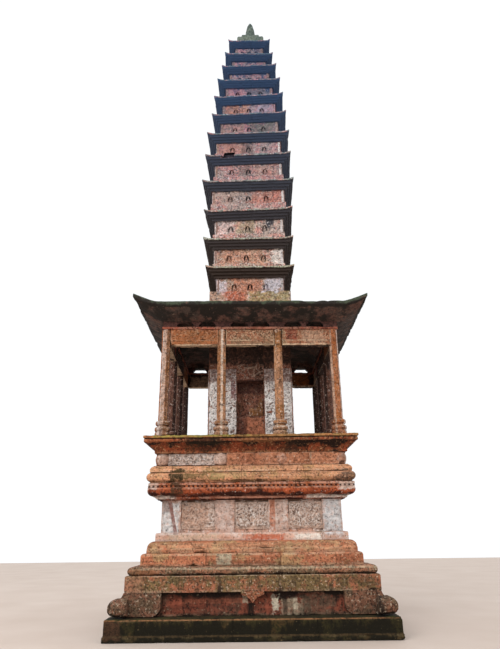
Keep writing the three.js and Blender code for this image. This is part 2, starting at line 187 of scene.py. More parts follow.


# %% [markdown]
# A geometry tree needs a few calls of its own. Values travel on the points of a mesh under
# plain names, such as how worn a point is, how much stain and painted shade it has, and how
# mossy it is, and the stone's material reads them again from the finished mesh.

# %% Helpers for geometry trees
def geometry_tree(name, sizes):
    """A geometry tree with a named input for each size, and its last step's input."""
    tree = bpy.data.node_groups.new(name, "GeometryNodeTree")
    given = ports(tree, "INPUT", [("Geometry", "Geometry", None), *sizes])
    return tree, given, ports(tree, "OUTPUT", [("Geometry", "Geometry", None)])[0]


def position(tree):
    return add(tree, "GeometryNodeInputPosition").outputs[0]


def facing_out(tree):
    return add(tree, "GeometryNodeInputNormal").outputs[0]


def named(tree, name):
    wires = (name,)
    return add(tree, "GeometryNodeInputNamedAttribute", wires, data_type="FLOAT").outputs["Attribute"]


def keep(tree, geometry, name, value):
    """Stores a value on every point under a name that the stone's material can read."""
    wires = {"Geometry": geometry, "Name": name, "Value": value}
    return add(tree, "GeometryNodeStoreNamedAttribute", wires, data_type="FLOAT").outputs[0]


def sampled(tree, points, value, index, kind="FLOAT"):
    """The value at the point of that number in a list of loose points."""
    wires = {"Geometry": points, "Value": value, "Index": index}
    return add(tree, "GeometryNodeSampleIndex", wires, data_type=kind).outputs[0]


def counted(tree, points):
    return add(tree, "GeometryNodeAttributeDomainSize", (points,)).outputs[0]


def rank(tree, value, count):
    """The row of a flat grid that a point is in, from its place between -0.5 and 0.5."""
    last = minus(tree, count, 1.0)
    return arith(tree, "ROUND", times(tree, plus(tree, value, 0.5), last))


def placed(tree, geometry, spot, merge):
    """Moves every point to its spot, and merges the points that then fall together."""
    made = add(tree, "GeometryNodeSetPosition", {"Geometry": geometry, "Position": spot}).outputs[0]
    return add(tree, "GeometryNodeMergeByDistance", {"Geometry": made, "Distance": merge}).outputs[0]


# %% [markdown]
# Old sandstone is never crisp. Its arrises are rounded and chipped, its faces wander a few
# millimetres and are pitted. The same three movements serve every piece, so they are one
# group: a slow sway, a fine roughening along the normal, and bites out of the arrises.

# %% The wear that every stone has
SHARP_ANGLE = 32
SWAY_SCALE = 0.8
ROUGH_SCALE = 7.0
BITE_SCALE = 3.1
WEAR_SIZES = [
    ("Sway", "Float", 0.012),
    ("Wear", "Float", 0.006),
    ("Chips", "Float", 0.02),
    ("Seed", "Float", 1.0),
    ("Stone", "Material", None),
]


def worn(tree, geometry, given):
    place, seed = position(tree), given["Seed"]
    clouds = {"Vector": place, "W": seed, "Scale": SWAY_SCALE, "Detail": 2.0}
    drift = add(tree, "ShaderNodeTexNoise", clouds, noise_dimensions="4D").outputs["Color"]
    sway = scaled(tree, arrow(tree, "SUBTRACT", drift, (0.5, 0.5, 0.5)), given["Sway"])
    fine = minus(tree, noise(tree, place, ROUGH_SCALE, 4.0, 0.6, seed), 0.5)
    bites = ramp(tree, noise(tree, place, BITE_SCALE, 3.0, 0.6, seed), 0.55, 0.95)
    bites = times(tree, bites, named(tree, "arris"), given["Chips"])
    push = minus(tree, times(tree, fine, given["Wear"]), bites)
    offset = arrow(tree, "ADD", sway, scaled(tree, facing_out(tree), push))
    return add(tree, "GeometryNodeSetPosition", {"Geometry": geometry, "Offset": offset}).outputs[0]


def finish_stone(tree, geometry, given, result):
    """Wears a mesh, shades it smooth but for its sharp edges, and gives it its stone."""
    angle = add(tree, "GeometryNodeInputMeshEdgeAngle").outputs[0]
    sharp = arith(tree, "GREATER_THAN", angle, math.radians(SHARP_ANGLE))
    wires = {"Geometry": worn(tree, geometry, given), "Shade Smooth": True}
    faces = add(tree, "GeometryNodeSetShadeSmooth", wires).outputs[0]
    wires = {"Geometry": faces, "Selection": sharp, "Shade Smooth": False}
    edges = add(tree, "GeometryNodeSetShadeSmooth", wires, domain="EDGE").outputs[0]
    real = add(tree, "GeometryNodeRealizeInstances", {"Geometry": edges}).outputs[0]
    made = add(tree, "GeometryNodeSetMaterial", {"Geometry": real, "Material": given["Stone"]})
    tree.links.new(made.outputs[0], result)


# %% [markdown]
# Most of the tower is square courses: an outline, carried round a square. Curve to Mesh
# would do it, but it pinches the corners. Instead a flat grid is bent: one way it follows
# the outline's points, the other way it goes round the four sides, one station after
# another. Both lists are loose points, so a course's outline and its joints stay readable.

# %% The square course
OPEN_JOINT = 0.006
COURSE_MERGE = 0.0004
OUTLINE_MARKS = ("stain", "moss", "petal", "arris")


def bent_square(tree, given, edge, station, marks):
    """Where a point of the grid goes: out from the axis, along its side, and round."""
    half, lift, height = edge[0], edge[1], edge[2]
    along, side, cut = station[0], station[1], station[2]
    start = given["Upturn start"]
    past = most(tree, minus(tree, size_of(tree, along), start), 0.0)
    rise = arith(tree, "POWER", over(tree, past, minus(tree, 1.0, start)), 2.0)
    raised = times(tree, lift, rise)
    solid = least(tree, times(tree, half, 4.0), 1.0)
    shift = times(tree, minus(tree, marks["tone"], 0.5), given["Shift"])
    inset = times(tree, minus(tree, shift, cut), solid)
    wide = plus(tree, half, plus(tree, inset, times(tree, raised, given["Reach"])))
    run = times(tree, along, wide)
    turns = over(tree, times(tree, run, math.pi), given["Petal width"])
    waves = size_of(tree, arith(tree, "SINE", turns))
    petal = times(tree, marks["petal"], given["Petal depth"])
    leaf = times(tree, minus(tree, waves, 0.5), petal)
    face = times(tree, plus(tree, wide, leaf), -1.0)
    flat = joined(tree, run, face, plus(tree, height, raised))
    wires = {"Vector": flat, "Angle": times(tree, side, math.pi / 2)}
    return add(tree, "ShaderNodeVectorRotate", wires, rotation_type="Z_AXIS").outputs[0]


def square_course_tree():
    tree, given, result = geometry_tree("Square course", [
        ("Plan", "Object", None),
        ("Reach", "Float", 0.25),
        ("Upturn start", "Float", 0.8),
        ("Shift", "Float", 0.008),
        ("Petal width", "Float", 0.2),
        ("Petal depth", "Float", 0.0),
        *WEAR_SIZES,
    ])
    outline = given["Geometry"]
    stations = add(tree, "GeometryNodeObjectInfo", (given["Plan"],)).outputs["Geometry"]
    up_count, round_count = counted(tree, outline), counted(tree, stations)
    made = add(tree, "GeometryNodeMeshGrid", (1.0, 1.0, round_count, up_count)).outputs[0]
    flat = split(tree, position(tree))
    up, around = rank(tree, flat[1], up_count), rank(tree, flat[0], round_count)
    edge = split(tree, sampled(tree, outline, position(tree), up, "FLOAT_VECTOR"))
    station = split(tree, sampled(tree, stations, position(tree), around, "FLOAT_VECTOR"))
    marks = {label: sampled(tree, outline, named(tree, label), up) for label in OUTLINE_MARKS}
    marks["tone"] = sampled(tree, stations, named(tree, "tone"), around)
    spot = bent_square(tree, given, edge, station, marks)
    for label in ("arris", "stain", "moss", "tone"):
        made = keep(tree, made, label, marks[label])
    made = keep(tree, made, "joint", least(tree, over(tree, station[2], OPEN_JOINT), 1.0))
    made = placed(tree, made, spot, COURSE_MERGE)
    finish_stone(tree, made, given, result)
    return tree


SQUARE_COURSE = square_course_tree()
print("the square course has", len(SQUARE_COURSE.nodes), "nodes")

# %% [markdown]
# An outline is written as a short list of corners, each a half-width and a height, with the
# rise of its eave corner, its stain and painted shade, its moss and its petals where it has
# them. The helper rounds the corners, marks them as arrises that may chip, and fills the
# straight runs.

# %% Outlines
ARRIS_TURN = 0.45


def linked(name, data):
    """A new object of the scene."""
    made = bpy.data.objects.new(name, data)
    scene.collection.objects.link(made)
    return made


def point_list(name, rows, labels):
    """Loose points whose further numbers are stored under those names."""
    mesh = bpy.data.meshes.new(name)
    mesh.from_pydata([row[:3] for row in rows], [], [])
    for place, label in enumerate(labels, start=3):
        values = mesh.attributes.new(label, "FLOAT", "POINT")
        values.data.foreach_set("value", [row[place] for row in rows])
    return linked(name, mesh)


# Stain darkens a corner with run-off: real stain, with painted shade in grooves and under ledges.
def corner(half, height, lift=0.0, stain=0.0, moss=0.0, petal=0.0):
    return (half, lift, height, stain, moss, petal)


def mixed(first, second, part):
    return tuple(a + (b - a) * part for a, b in zip(first, second))


def rounded(before, here, after, rounding):
    """The points that take the place of one corner, each marked as an arris or not."""
    ends = []
    for other in (before, after):
        gap = math.hypot(other[0] - here[0], other[2] - here[2])
        ends.append(mixed(here, other, min(rounding / max(gap, 1e-6), 0.4)))
    runs = [(here[0] - before[0], here[2] - before[2]), (after[0] - here[0], after[2] - here[2])]
    turned = runs[0][0] * runs[1][1] - runs[0][1] * runs[1][0]
    turned /= max(math.hypot(*runs[0]) * math.hypot(*runs[1]), 1e-9)
    if abs(turned) < ARRIS_TURN:
        return [here + (0.0,)]
    made = []
    for part in (0.0, 0.5, 1.0):
        first = mixed(ends[0], here, part)
        made.append(mixed(first, mixed(here, ends[1], part), part) + (float(turned > 0),))
    return made


def worn_outline(name, corners, rounding=0.018, step=0.035):
    """An outline with its corners rounded and its straight runs filled, as loose points."""
    rows = [corners[0] + (0.0,)]
    for before, here, after in zip(corners, corners[1:], corners[2:]):
        rows += rounded(before, here, after, rounding)
    rows.append(corners[-1] + (0.0,))
    filled = [rows[0]]
    for row in rows[1:]:
        last = filled[-1]
        gap = math.hypot(row[0] - last[0], row[2] - last[2])
        parts = 1 if min(row[0], last[0]) < 0.01 else max(1, round(gap / step))
        for part in range(1, parts):
            filled.append(mixed(last, row, part / parts)[:6] + (0.0,))
        filled.append(row)
    return point_list(name, filled, OUTLINE_MARKS)


# %% [markdown]
# The plan of a course is its list of stations round the square. They are even, but for four
# close ones at each joint between blocks, which dip a few millimetres. Each block also gets
# a tone of its own, drawn from a fixed seed.

# %% Plans, and a course from both
triangle_counts = {}


def plan(half, joints=(), pitch=0.045, cut=OPEN_JOINT, seed=1):
    """The stations round a square: how far along its side each stands, and which side."""
    tones = random.Random(seed)
    count = math.ceil(2 * half / pitch)
    even = [-half + 2 * half * i / count for i in range(count)]
    stops = [(place, 0.0) for place in even if all(abs(place - joint) > pitch / 2 for joint in joints)]
    for joint in joints:
        stops += [(joint + edge * cut, depth * cut) for edge, depth in ((-2, 0), (-0.7, 1), (0.7, 1), (2, 0))]
    stops.sort()
    rows = []
    tone = first_tone = tones.random()
    for side in range(4):
        passed = sorted(joints)
        for place, depth in stops:
            while passed and place > passed[0]:
                passed.pop(0)
                last = side == 3 and not passed
                tone = first_tone if last else tones.random()
            rows.append((place / half, side, depth, tone))
    rows.append((-1.0, 4, 0.0, first_tone))
    return point_list("plan", rows, ("tone",))


def run_tree(piece, tree, sizes):
    """Adds a geometry tree to a piece and sets its inputs, which are given by name."""
    modifier = piece.modifiers.new(tree.name, "NODES")
    modifier.node_group = tree
    for socket in tree.interface.items_tree:
        if socket.in_out == "INPUT" and socket.name in sizes:
            modifier[socket.identifier] = sizes[socket.name]


def input_names(sizes):
    """A tree's inputs, from the words of a call: petal_width is its Petal width."""
    return {label.replace("_", " ").capitalize(): value for label, value in sizes.items()}


def plain_mesh(piece, name):
    """Turns an evaluated piece into a plain mesh object and removes what it was made from."""
    shown = piece.evaluated_get(bpy.context.evaluated_depsgraph_get())
    mesh = bpy.data.meshes.new_from_object(shown)
    if len(mesh.materials) > 1 and mesh.materials[0] is None:
        mesh.materials.pop(index=0)
    made = linked(name, mesh)
    bpy.data.objects.remove(piece)
    made.name = name
    return made


def hand_over(piece, slot, *nodes):
    """Hangs the piece on the root, hides the imported parts that it stands for, and counts its triangles."""
    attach(piece, "root")
    if nodes:
        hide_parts(*nodes)
    piece.data.calc_loop_triangles()
    triangle_counts[piece.name] = len(piece.data.loop_triangles)
    print(piece.name, triangle_counts[piece.name], "triangles")


def course(name, corners, stations, stone, rounding=0.018, step=0.035, **sizes):
    """A worn square course as a plain mesh."""
    outline = worn_outline(name + "_outline", corners, rounding, step)
    run_tree(outline, SQUARE_COURSE, {"Plan": stations, "Stone": stone, **input_names(sizes)})
    made = plain_mesh(outline, name)
    bpy.data.objects.remove(stations)
    return made


# %% [markdown]
# All the stone is one red sandstone under different weather, so one shader group holds what
# weather does, and painted shade, in layers. First comes the bare stone: patches of a second
# tone, bedding lines and grain, with each block a little lighter or darker and its worn arrises
# pale.

# %% Bare stone
GRAIN_DEPTH = 1.5
BLOCK_DEPTH = 0.3


def paint(code):
    """A colour written as on a paint card, as Blender wants it."""
    values = [int(code[i:i + 2], 16) / 255 for i in (1, 3, 5)]
    return tuple(v / 12.92 if v < 0.04045 else ((v + 0.055) / 1.055) ** 2.4 for v in values) + (1.0,)


def blend(tree, part, below, above):
    wires = {0: part, 6: below, 7: above}
    return add(tree, "ShaderNodeMix", wires, data_type="RGBA", blend_type="MIX").outputs[2]


def shared(tree, cloud, share, softness):
    """Where a cloud covers that share of the surface: 0 is nowhere and 1 is everywhere."""
    edge = minus(tree, 1.0, share)
    return ramp(tree, cloud, minus(tree, edge, softness), plus(tree, edge, softness))


def stretched(tree, place, sizes):
    return arrow(tree, "MULTIPLY", place, sizes)


def object_place(tree):
    return add(tree, "ShaderNodeTexCoord").outputs["Object"]


def stored(tree, name):
    """What the geometry trees left on the stone under that name."""
    return add(tree, "ShaderNodeAttribute", attribute_name=name).outputs["Fac"]


def bare_stone(tree, given, place):
    clouds = times(tree, noise(tree, place, 1.7, 6.0, 0.62, 2.0), 0.5)
    clouds = times_plus(tree, noise(tree, place, 6.5, 5.0, 0.72, 3.0), 0.5, clouds)
    second = shared(tree, clouds, given["Second share"], 0.1)
    colour = blend(tree, second, given["Stone"], given["Second"])
    beds = noise(tree, stretched(tree, place, (0.5, 0.5, 9.0)), 2.0, 5.0, 0.6, 5.0)
    lines = times(tree, minus(tree, beds, 0.5), given["Bedding"])
    grain = noise(tree, place, 13.0, 5.0, 0.8, 8.0)
    specks = times(tree, minus(tree, grain, 0.5), given["Speckle"], GRAIN_DEPTH)
    blocks = times(tree, minus(tree, stored(tree, "tone"), 0.5), BLOCK_DEPTH)
    bright = plus(tree, plus(tree, lines, specks), plus(tree, blocks, 1.0))
    colour = arrow(tree, "MULTIPLY", colour, joined(tree, bright, bright, bright))
    edges = times(tree, stored(tree, "arris"), given["Worn arris"],
                  ramp(tree, noise(tree, place, 4.0, 3.0, 0.6, 9.0), 0.2, 0.7))
    return blend(tree, edges, colour, given["Pale"]), bright, beds, grain


# %% [markdown]
# Rain, soot and painted shade come next. Dark run-off hangs in streaks under each ledge and
# gathers in hollows, and it spreads further in hollows and on faces that look down, as painted
# shade. Where a piece stands deep under a roof, it is darkened all over as painted shade:
# ambient occlusion over a long reach finds such places, with the faces that look in towards
# the axis.

# %% Run-off and painted shade
HOLLOW_REACH = 0.12
SHELTER_REACH = 1.5
RUN_OFF_STRETCH = (1.0, 1.0, 0.3)


def open_sky(tree, reach):
    """How much of its surroundings a point sees, out to that distance."""
    return add(tree, "ShaderNodeAmbientOcclusion", {"Distance": reach}, samples=4).outputs["AO"]


def run_off_and_shade(tree, given, place, facing, colour):
    runs = noise(tree, stretched(tree, place, RUN_OFF_STRETCH), 3.4, 6.0, 0.62, 11.0)
    # Painted shade with some dirt: hollows and faces that look down get more of the dark run-off.
    hollow = ramp(tree, open_sky(tree, HOLLOW_REACH), 0.7, 0.2)
    under = times(tree, ramp(tree, facing, -0.2, -0.8), given["Under dirt"])
    shade_and_dirt = plus(tree, times(tree, hollow, 0.3), under)
    share = plus(tree, plus(tree, given["Deep share"], shade_and_dirt), stored(tree, "stain"))
    return blend(tree, shared(tree, runs, share, 0.12), colour, given["Deep"])


# Painted shade: pieces deep under a roof, and faces that look in towards the axis, turn dark.
def painted_deep_shade(tree, given, place, normal, colour):
    outward = arrow(tree, "NORMALIZE", arrow(tree, "MULTIPLY", place, (1.0, 1.0, 0.0)))
    outward = add(tree, "ShaderNodeVectorMath", (outward, normal), operation="DOT_PRODUCT").outputs["Value"]
    roof_shade = ramp(tree, open_sky(tree, SHELTER_REACH), 0.6, 0.2)
    roof_shade = most(tree, roof_shade, ramp(tree, outward, -0.05, -0.5))
    return blend(tree, times(tree, roof_shade, given["Shelter"]), colour, given["Deep"])


# %% [markdown]
# Lime and lichen follow: a pale bloom in clouds, moss where the outline says so or where a face
# looks up, and a scatter of pale flecks, while the crests of carving are paled by how far they
# stand out, as painted highlight. Last come the dark marks: pits in the face, open joints, and
# the hollows of the carving, darkened by their depth as painted shade.

# %% Lime, moss and pits
def limed(tree, given, place, clean, colour):
    bloom = noise(tree, place, 6.5, 7.0, 0.8, 14.0)
    pale = times(tree, shared(tree, bloom, given["Pale share"], 0.08), clean)
    colour = blend(tree, pale, colour, given["Pale"])
    # Painted highlight: the crests of carving are paled by how far they stand out.
    raised = times(tree, ramp(tree, stored(tree, "hollow"), 0.0, -0.3), 0.6)
    return blend(tree, raised, colour, given["Pale"]), bloom


def mossed(tree, given, place, facing, colour):
    top = times(tree, ramp(tree, facing, 0.3, 0.8), given["Top moss"])
    wet = plus(tree, plus(tree, given["Moss share"], stored(tree, "moss")), top)
    green = noise(tree, place, 4.5, 6.0, 0.7, 17.0)
    return blend(tree, shared(tree, green, wet, 0.12), colour, given["Moss"])


def flecked(tree, given, place, clean, colour):
    flecks = shared(tree, noise(tree, place, 20.0, 3.0, 0.7, 26.0), given["Flecks"], 0.06)
    return blend(tree, times(tree, flecks, 0.85, clean), colour, given["Pale"])


def pitted(tree, given, place, colour):
    pits = shared(tree, noise(tree, place, 26.0, 2.0, 0.6, 23.0), given["Pits"], 0.08)
    # Painted shade: the hollows of carving are darkened by their depth.
    cut = times(tree, ramp(tree, stored(tree, "hollow"), 0.14, 0.42), 0.8)
    dark = most(tree, times(tree, stored(tree, "joint"), 0.6), cut)
    dark = most(tree, times(tree, pits, 0.75), dark)
    return blend(tree, dark, colour, given["Deep"]), pits


# %% [markdown]
# The group puts these in the order in which they lie on the stone. It also gives a height
# for the bump, and a mottle, so that a patch laid over the stone keeps the stone's grain.

# %% The weathered stone group
STONE_INPUTS = [
    ("Stone", "Color", paint("#a8603f")),
    ("Second", "Color", paint("#8a5a3c")),
    ("Deep", "Color", paint("#33241a")),
    ("Pale", "Color", paint("#cdb7a4")),
    ("Moss", "Color", paint("#55502a")),
    ("Second share", "Float", 0.5),
    ("Deep share", "Float", 0.06),
    ("Pale share", "Float", 0.05),
    ("Moss share", "Float", 0.02),
    ("Top moss", "Float", 0.2),
    # The next share darkens faces that look down: painted shade with some dirt.
    ("Under dirt", "Float", 0.3),
    ("Bedding", "Float", 0.3),
    ("Worn arris", "Float", 0.4),
    ("Speckle", "Float", 0.8),
    ("Pits", "Float", 0.32),
    ("Flecks", "Float", 0.2),
    # The last share darkens pieces under a roof and faces that look inwards: painted shade.
    ("Shelter", "Float", 0.0),
]
STONE_OUTPUTS = [("Colour", "Color", None), ("Height", "Float", None), ("Mottle", "Float", None)]


def stone_group():
    tree = bpy.data.node_groups.new("Weathered stone", "ShaderNodeTree")
    given, result = ports(tree, "INPUT", STONE_INPUTS), ports(tree, "OUTPUT", STONE_OUTPUTS)
    place = object_place(tree)
    normal = add(tree, "ShaderNodeNewGeometry").outputs["Normal"]
    facing = split(tree, normal)[2]
    clean = most(tree, minus(tree, 1.0, stored(tree, "stain")), 0.0)
    colour, bright, beds, grain = bare_stone(tree, given, place)
    colour = run_off_and_shade(tree, given, place, facing, colour)
    colour = painted_deep_shade(tree, given, place, normal, colour)
    colour, bloom = limed(tree, given, place, clean, colour)
    colour = mossed(tree, given, place, facing, colour)
    colour = flecked(tree, given, place, clean, colour)
    colour, pits = pitted(tree, given, place, colour)
    height = times_plus(tree, grain, 0.5, times(tree, beds, 0.3))
    height = times_plus(tree, bloom, 0.3, height)
    tree.links.new(colour, result["Colour"])
    tree.links.new(times_plus(tree, pits, -0.4, height), result["Height"])
    tree.links.new(times_plus(tree, pits, -0.35, bright), result["Mottle"])
    return tree


STONE = stone_group()
print("the stone group has", len(STONE.nodes), "nodes")

# %% [markdown]
# Some marks belong to one place, such as a block mended with cement, and a few are painted
# shade and painted highlight, as said where they are given. They are patches laid over the
# group by their place on the side of the tower: how far along it, how high, how wide and
# tall, in which colour and how thickly. Each has a ragged edge, and fades where a point's
# stain and painted shade are marked, and on faces that look up. A stone gives its own
# colours and patches, and such shares as differ from the group's.

# %% Patches and the stone material
PATCH_EDGE = 0.18
ROUGHNESS = 0.88
GLOSS = 0.25
BUMP_DISTANCE = 0.02


def side_place_group():
    """How far along its own side a point lies, to the right as one faces it, and how high."""
    tree = bpy.data.node_groups.new("Place on its side", "ShaderNodeTree")
    result = ports(tree, "OUTPUT", [("Along", "Float", None), ("Height", "Float", None)])
    x, y, z = split(tree, object_place(tree))
    flank = arith(tree, "GREATER_THAN", size_of(tree, x), size_of(tree, y))
    on_front = times(tree, times(tree, x, arith(tree, "SIGN", y)), -1.0)
    on_flank = times(tree, y, arith(tree, "SIGN", x))
    along = times_plus(tree, minus(tree, on_flank, on_front), flank, on_front)
    tree.links.new(along, result["Along"])
    tree.links.new(z, result["Height"])
    return tree


SIDE_PLACE = side_place_group()


def patched(tree, colour, mottle, patches):
    """Lays the patches over a stone's colour, one after another."""
    place = add(tree, "ShaderNodeGroup", node_tree=SIDE_PLACE).outputs
    spot = object_place(tree)
    facing = split(tree, add(tree, "ShaderNodeNewGeometry").outputs["Normal"])[2]
    ragged = noise(tree, spot, 5.0, 6.0, 0.7, 21.0)
    broken = ramp(tree, noise(tree, spot, 13.0, 4.0, 0.75, 31.0), 0.15, 0.6, 0.35, 1.0)
    broken = times(tree, broken, ramp(tree, stored(tree, "stain"), 1.0, 0.3))
    broken = times(tree, broken, ramp(tree, facing, 0.9, 0.6))
    mottle = joined(tree, mottle, mottle, mottle)
    for along, height, wide, tall, code, cover, rag, *slant in patches:
        above = minus(tree, place["Height"], height)
        beside = minus(tree, place["Along"], along)
        if slant:
            beside = times_plus(tree, above, -slant[0], beside)
        side = over(tree, size_of(tree, beside), wide / 2)
        rise = over(tree, size_of(tree, above), tall / 2)
        edge = times_plus(tree, ragged, rag, most(tree, side, rise))
        middle = 1.0 + rag * 0.5
        part = ramp(tree, edge, middle - PATCH_EDGE, middle + PATCH_EDGE, cover, 0.0)
        painted = arrow(tree, "MULTIPLY", mottle, paint(code)[:3])
        colour = blend(tree, times(tree, part, broken), colour, painted)
    return colour


def new_material(name, roughness):
    """A material, its tree and the inputs of its shader."""
    material = bpy.data.materials.new(name)
    material.use_nodes = True
    shader = material.node_tree.nodes["Principled BSDF"].inputs
    shader["Roughness"].default_value = roughness
    return material, material.node_tree, shader


def stone_material(name, patches=(), bump=0.75, **looks):
    """A stone with its colours, its shares and the patches that belong to one place."""
    material, tree, shader = new_material(name, ROUGHNESS)
    stone = add(tree, "ShaderNodeGroup", node_tree=STONE)
    for label, value in input_names(looks).items():
        stone.inputs[label].default_value = paint(value) if isinstance(value, str) else value
    colour = patched(tree, stone.outputs["Colour"], stone.outputs["Mottle"], patches)
    tree.links.new(colour, shader["Base Color"])
    shader["Specular IOR Level"].default_value = GLOSS
    wires = {"Strength": bump, "Distance": BUMP_DISTANCE, "Height": stone.outputs["Height"]}
    tree.links.new(add(tree, "ShaderNodeBump", wires).outputs[0], shader["Normal"])
    return material


# %% [markdown]
# The floor is only there to stand on and to throw light back, so it stays a plain pale slab
# with a faint mottle.

# %% The floor
FLOOR_SPAN = 60.0
FLOOR_ROUGHNESS = 0.9


def floor_material():
    material, tree, shader = new_material("pale_floor", FLOOR_ROUGHNESS)
    mottle = noise(tree, object_place(tree), 0.7, 4.0, 0.5, 3.0)
    tree.links.new(blend(tree, mottle, paint("#d6c6ba"), paint("#cdbbae")), shader["Base Color"])
    return material


bpy.ops.mesh.primitive_plane_add(size=FLOOR_SPAN)
floor = bpy.context.object
floor.name = "floor"
floor.data.materials.append(floor_material())

# %% [markdown]
# Each course takes its bottom, top and width from its imported node. A course is tucked a
# little way under the one above, and starts a few millimetres into the one below, so no
# light shows through the worn joints.

# %% Sizes from the imported model
LAP = 0.008
TUCK = 0.12


def extent(node):
    """Half-width, bottom and top of a square node."""
    low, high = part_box(node)
    return high.x, low.z, high.z


def arc(half, height, radius, start, stop, steps=6, **marks):
    """Corners along a round stretch of an outline, with angles in degrees from outwards."""
    angles = [math.radians(start + (stop - start) * i / steps) for i in range(steps + 1)]
    return [corner(half + radius * math.cos(a), height + radius * math.sin(a), **marks) for a in angles]


def closed(corners):
    """Runs an outline in to the axis at both ends."""
    first, last = corners[0], corners[-1]
    return [(0.0, 0.0, *first[2:])] + corners + [(0.0, 0.0, *last[2:])]


print("the base is", round(2 * extent("base_plinth")[0], 2), "m wide")

# %% [markdown]
# The bottom course stands in splashed rain. It is nearly black, with a projecting lip at the
# ground, long blocks, and a top edge that feet have worn back to orange.

# %% Bottom plinth
PLINTH_JOINTS = (-2.1, -0.35, 1.15)
LIP_TOP = 0.09
LIP_SET_BACK = 0.018

dark_plinth = stone_material(
    "dark_plinth_stone", stone="#3f3019", second="#2b2610", deep="#171306", pale="#7d6a4c",
    moss="#3f3d1a", second_share=0.55, deep_share=0.36, moss_share=0.12, top_moss=0.1, worn_arris=0.35,
    flecks=0.12,
    patches=[(-2.5, 0.2, 0.3, 0.3, "#5a3d2b", 0.6, 0.9), (0.0, 0.352, 5.4, 0.022, "#9c6c48", 0.7, 0.6),
             (0.0, 0.1, 5.4, 0.03, "#4f3d26", 0.6, 0.8)],
)


def bottom_plinth():
    half, low, high = extent("base_plinth")
    face = half - LIP_SET_BACK
    corners = closed([
        corner(half, low, stain=0.3),
        corner(half, LIP_TOP, stain=0.1),
        corner(face, LIP_TOP + 0.02, stain=0.4),
        corner(face, high - 0.05, stain=0.1),
        corner(face, high, moss=0.1),
        corner(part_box("fascia_course")[1].x - TUCK - 0.2, high, moss=0.2),
    ])
    stations = plan(half, PLINTH_JOINTS, seed=11)
    return course("plinth_stone", corners, stations, dark_plinth, sway=0.02, chips=0.03, seed=3.0)


hand_over(bottom_plinth(), "dark_plinth_stone", "base_plinth")

# %% [markdown]
# Behind the scroll feet the base is set back to a plain panel, dark red and streaked with
# black run-off and pale lime, and darker along its top under the band as painted shadow.

# %% Recessed panels
PANEL_SET_BACK = 0.13
PANEL_FACE = extent("fascia_course")[0] - PANEL_SET_BACK

sheltered_red = stone_material(
    "sheltered_red_stone", stone="#834634", second="#614032", deep="#251a14", pale="#b3a184",
    moss="#4a4328", deep_share=0.2, pale_share=0.07, moss_share=0.03, bedding=0.5,
    patches=[(0.42, 0.54, 0.13, 0.26, "#cfc4ae", 0.95, 2.2), (0.76, 0.5, 0.42, 0.26, "#a8957c", 0.7, 2.8),
             (0.6, 0.52, 0.07, 0.4, "#2a1b16", 0.75, 1.2), (1.0, 0.52, 0.12, 0.4, "#33231b", 0.7, 1.4),
             (0.8, 0.56, 0.07, 0.2, "#c4b69e", 0.8, 1.6),
             # the dark band along the top of the panel, under the band above, is painted shadow
             (-0.6, 0.62, 1.6, 0.1, "#a05c44", 0.4, 1.6), (-0.4, 0.7, 2.6, 0.1, "#2a1b16", 0.6, 1.4),
             (1.2, 0.5, 0.6, 0.4, "#5f5040", 0.6, 1.2), (-0.14, 0.64, 0.1, 0.14, "#c2b39b", 0.7, 1.2)],
)


def recessed_panels():
    low, high = extent("foot_course")[1:]
    corners = closed([
        corner(PANEL_FACE - 0.3, low - LAP),
        corner(PANEL_FACE, low - LAP, stain=0.25),
        corner(PANEL_FACE, low + 0.05, stain=0.1),
        # Towards the top of the panel, stain and painted shadow darken it.
        corner(PANEL_FACE, high - 0.08, stain=0.25),
        corner(PANEL_FACE, high, stain=0.6),
        corner(PANEL_FACE - 0.3, high),
    ])
    stations = plan(PANEL_FACE, (-0.9, 0.75), seed=12)
    return course("recessed_panels", corners, stations, sheltered_red, sway=0.015, seed=5.0)


hand_over(recessed_panels(), "deep_red_stone", "foot_course")

# %% [markdown]
# Pieces that are not square courses need two more trees. One wears any mesh. The other sets
# copies of a small piece in a row along each of the four sides, which is how drums, teeth,
# niches and the figures in them come about.

# %% Rows on four sides
ROW_SIZES = [
    ("Count", "Int", 3),
    ("First", "Float", 0.0),
    ("Pitch", "Float", 1.0),
    ("Out", "Float", 1.0),
    ("Level", "Float", 0.0),
]


def four_rows(tree, piece, given):
    """Copies of the piece in a row along every side, as real geometry."""
    start = joined(tree, given["First"], times(tree, given["Out"], -1.0), given["Level"])
    pitch = joined(tree, given["Pitch"], 0.0, 0.0)
    wires = {"Count": given["Count"], "Start Location": start, "Offset": pitch}
    line = add(tree, "GeometryNodeMeshLine", wires).outputs[0]
    row = add(tree, "GeometryNodeInstanceOnPoints", {"Points": line, "Instance": piece}).outputs[0]
    sides = add(tree, "GeometryNodeMeshLine", {"Count": 4, "Offset": (0.0, 0.0, 0.0)}).outputs[0]
    quarter = times(tree, add(tree, "GeometryNodeInputIndex").outputs[0], math.pi / 2)
    spin = joined(tree, 0.0, 0.0, quarter)
    turned = add(tree, "FunctionNodeEulerToRotation", (spin,)).outputs[0]
    wires = {"Points": sides, "Instance": row, "Rotation": turned}
    ring = add(tree, "GeometryNodeInstanceOnPoints", wires).outputs[0]
    return add(tree, "GeometryNodeRealizeInstances", {"Geometry": ring}).outputs[0]


def row_tree():
    tree, given, result = geometry_tree("Row on four sides", [*ROW_SIZES, *WEAR_SIZES])
    finish_stone(tree, four_rows(tree, given["Geometry"], given), given, result)
    return tree


def worn_block_tree():
    tree, given, result = geometry_tree("Worn block", WEAR_SIZES)
    finish_stone(tree, given["Geometry"], given, result)
    return tree


ROW = row_tree()
WORN_BLOCK = worn_block_tree()
print("the row tree has", len(ROW.nodes), "nodes")

# %% [markdown]
# What goes through these trees is a closed solid: a prism from an outline, or several solids
# joined or cut by one another.

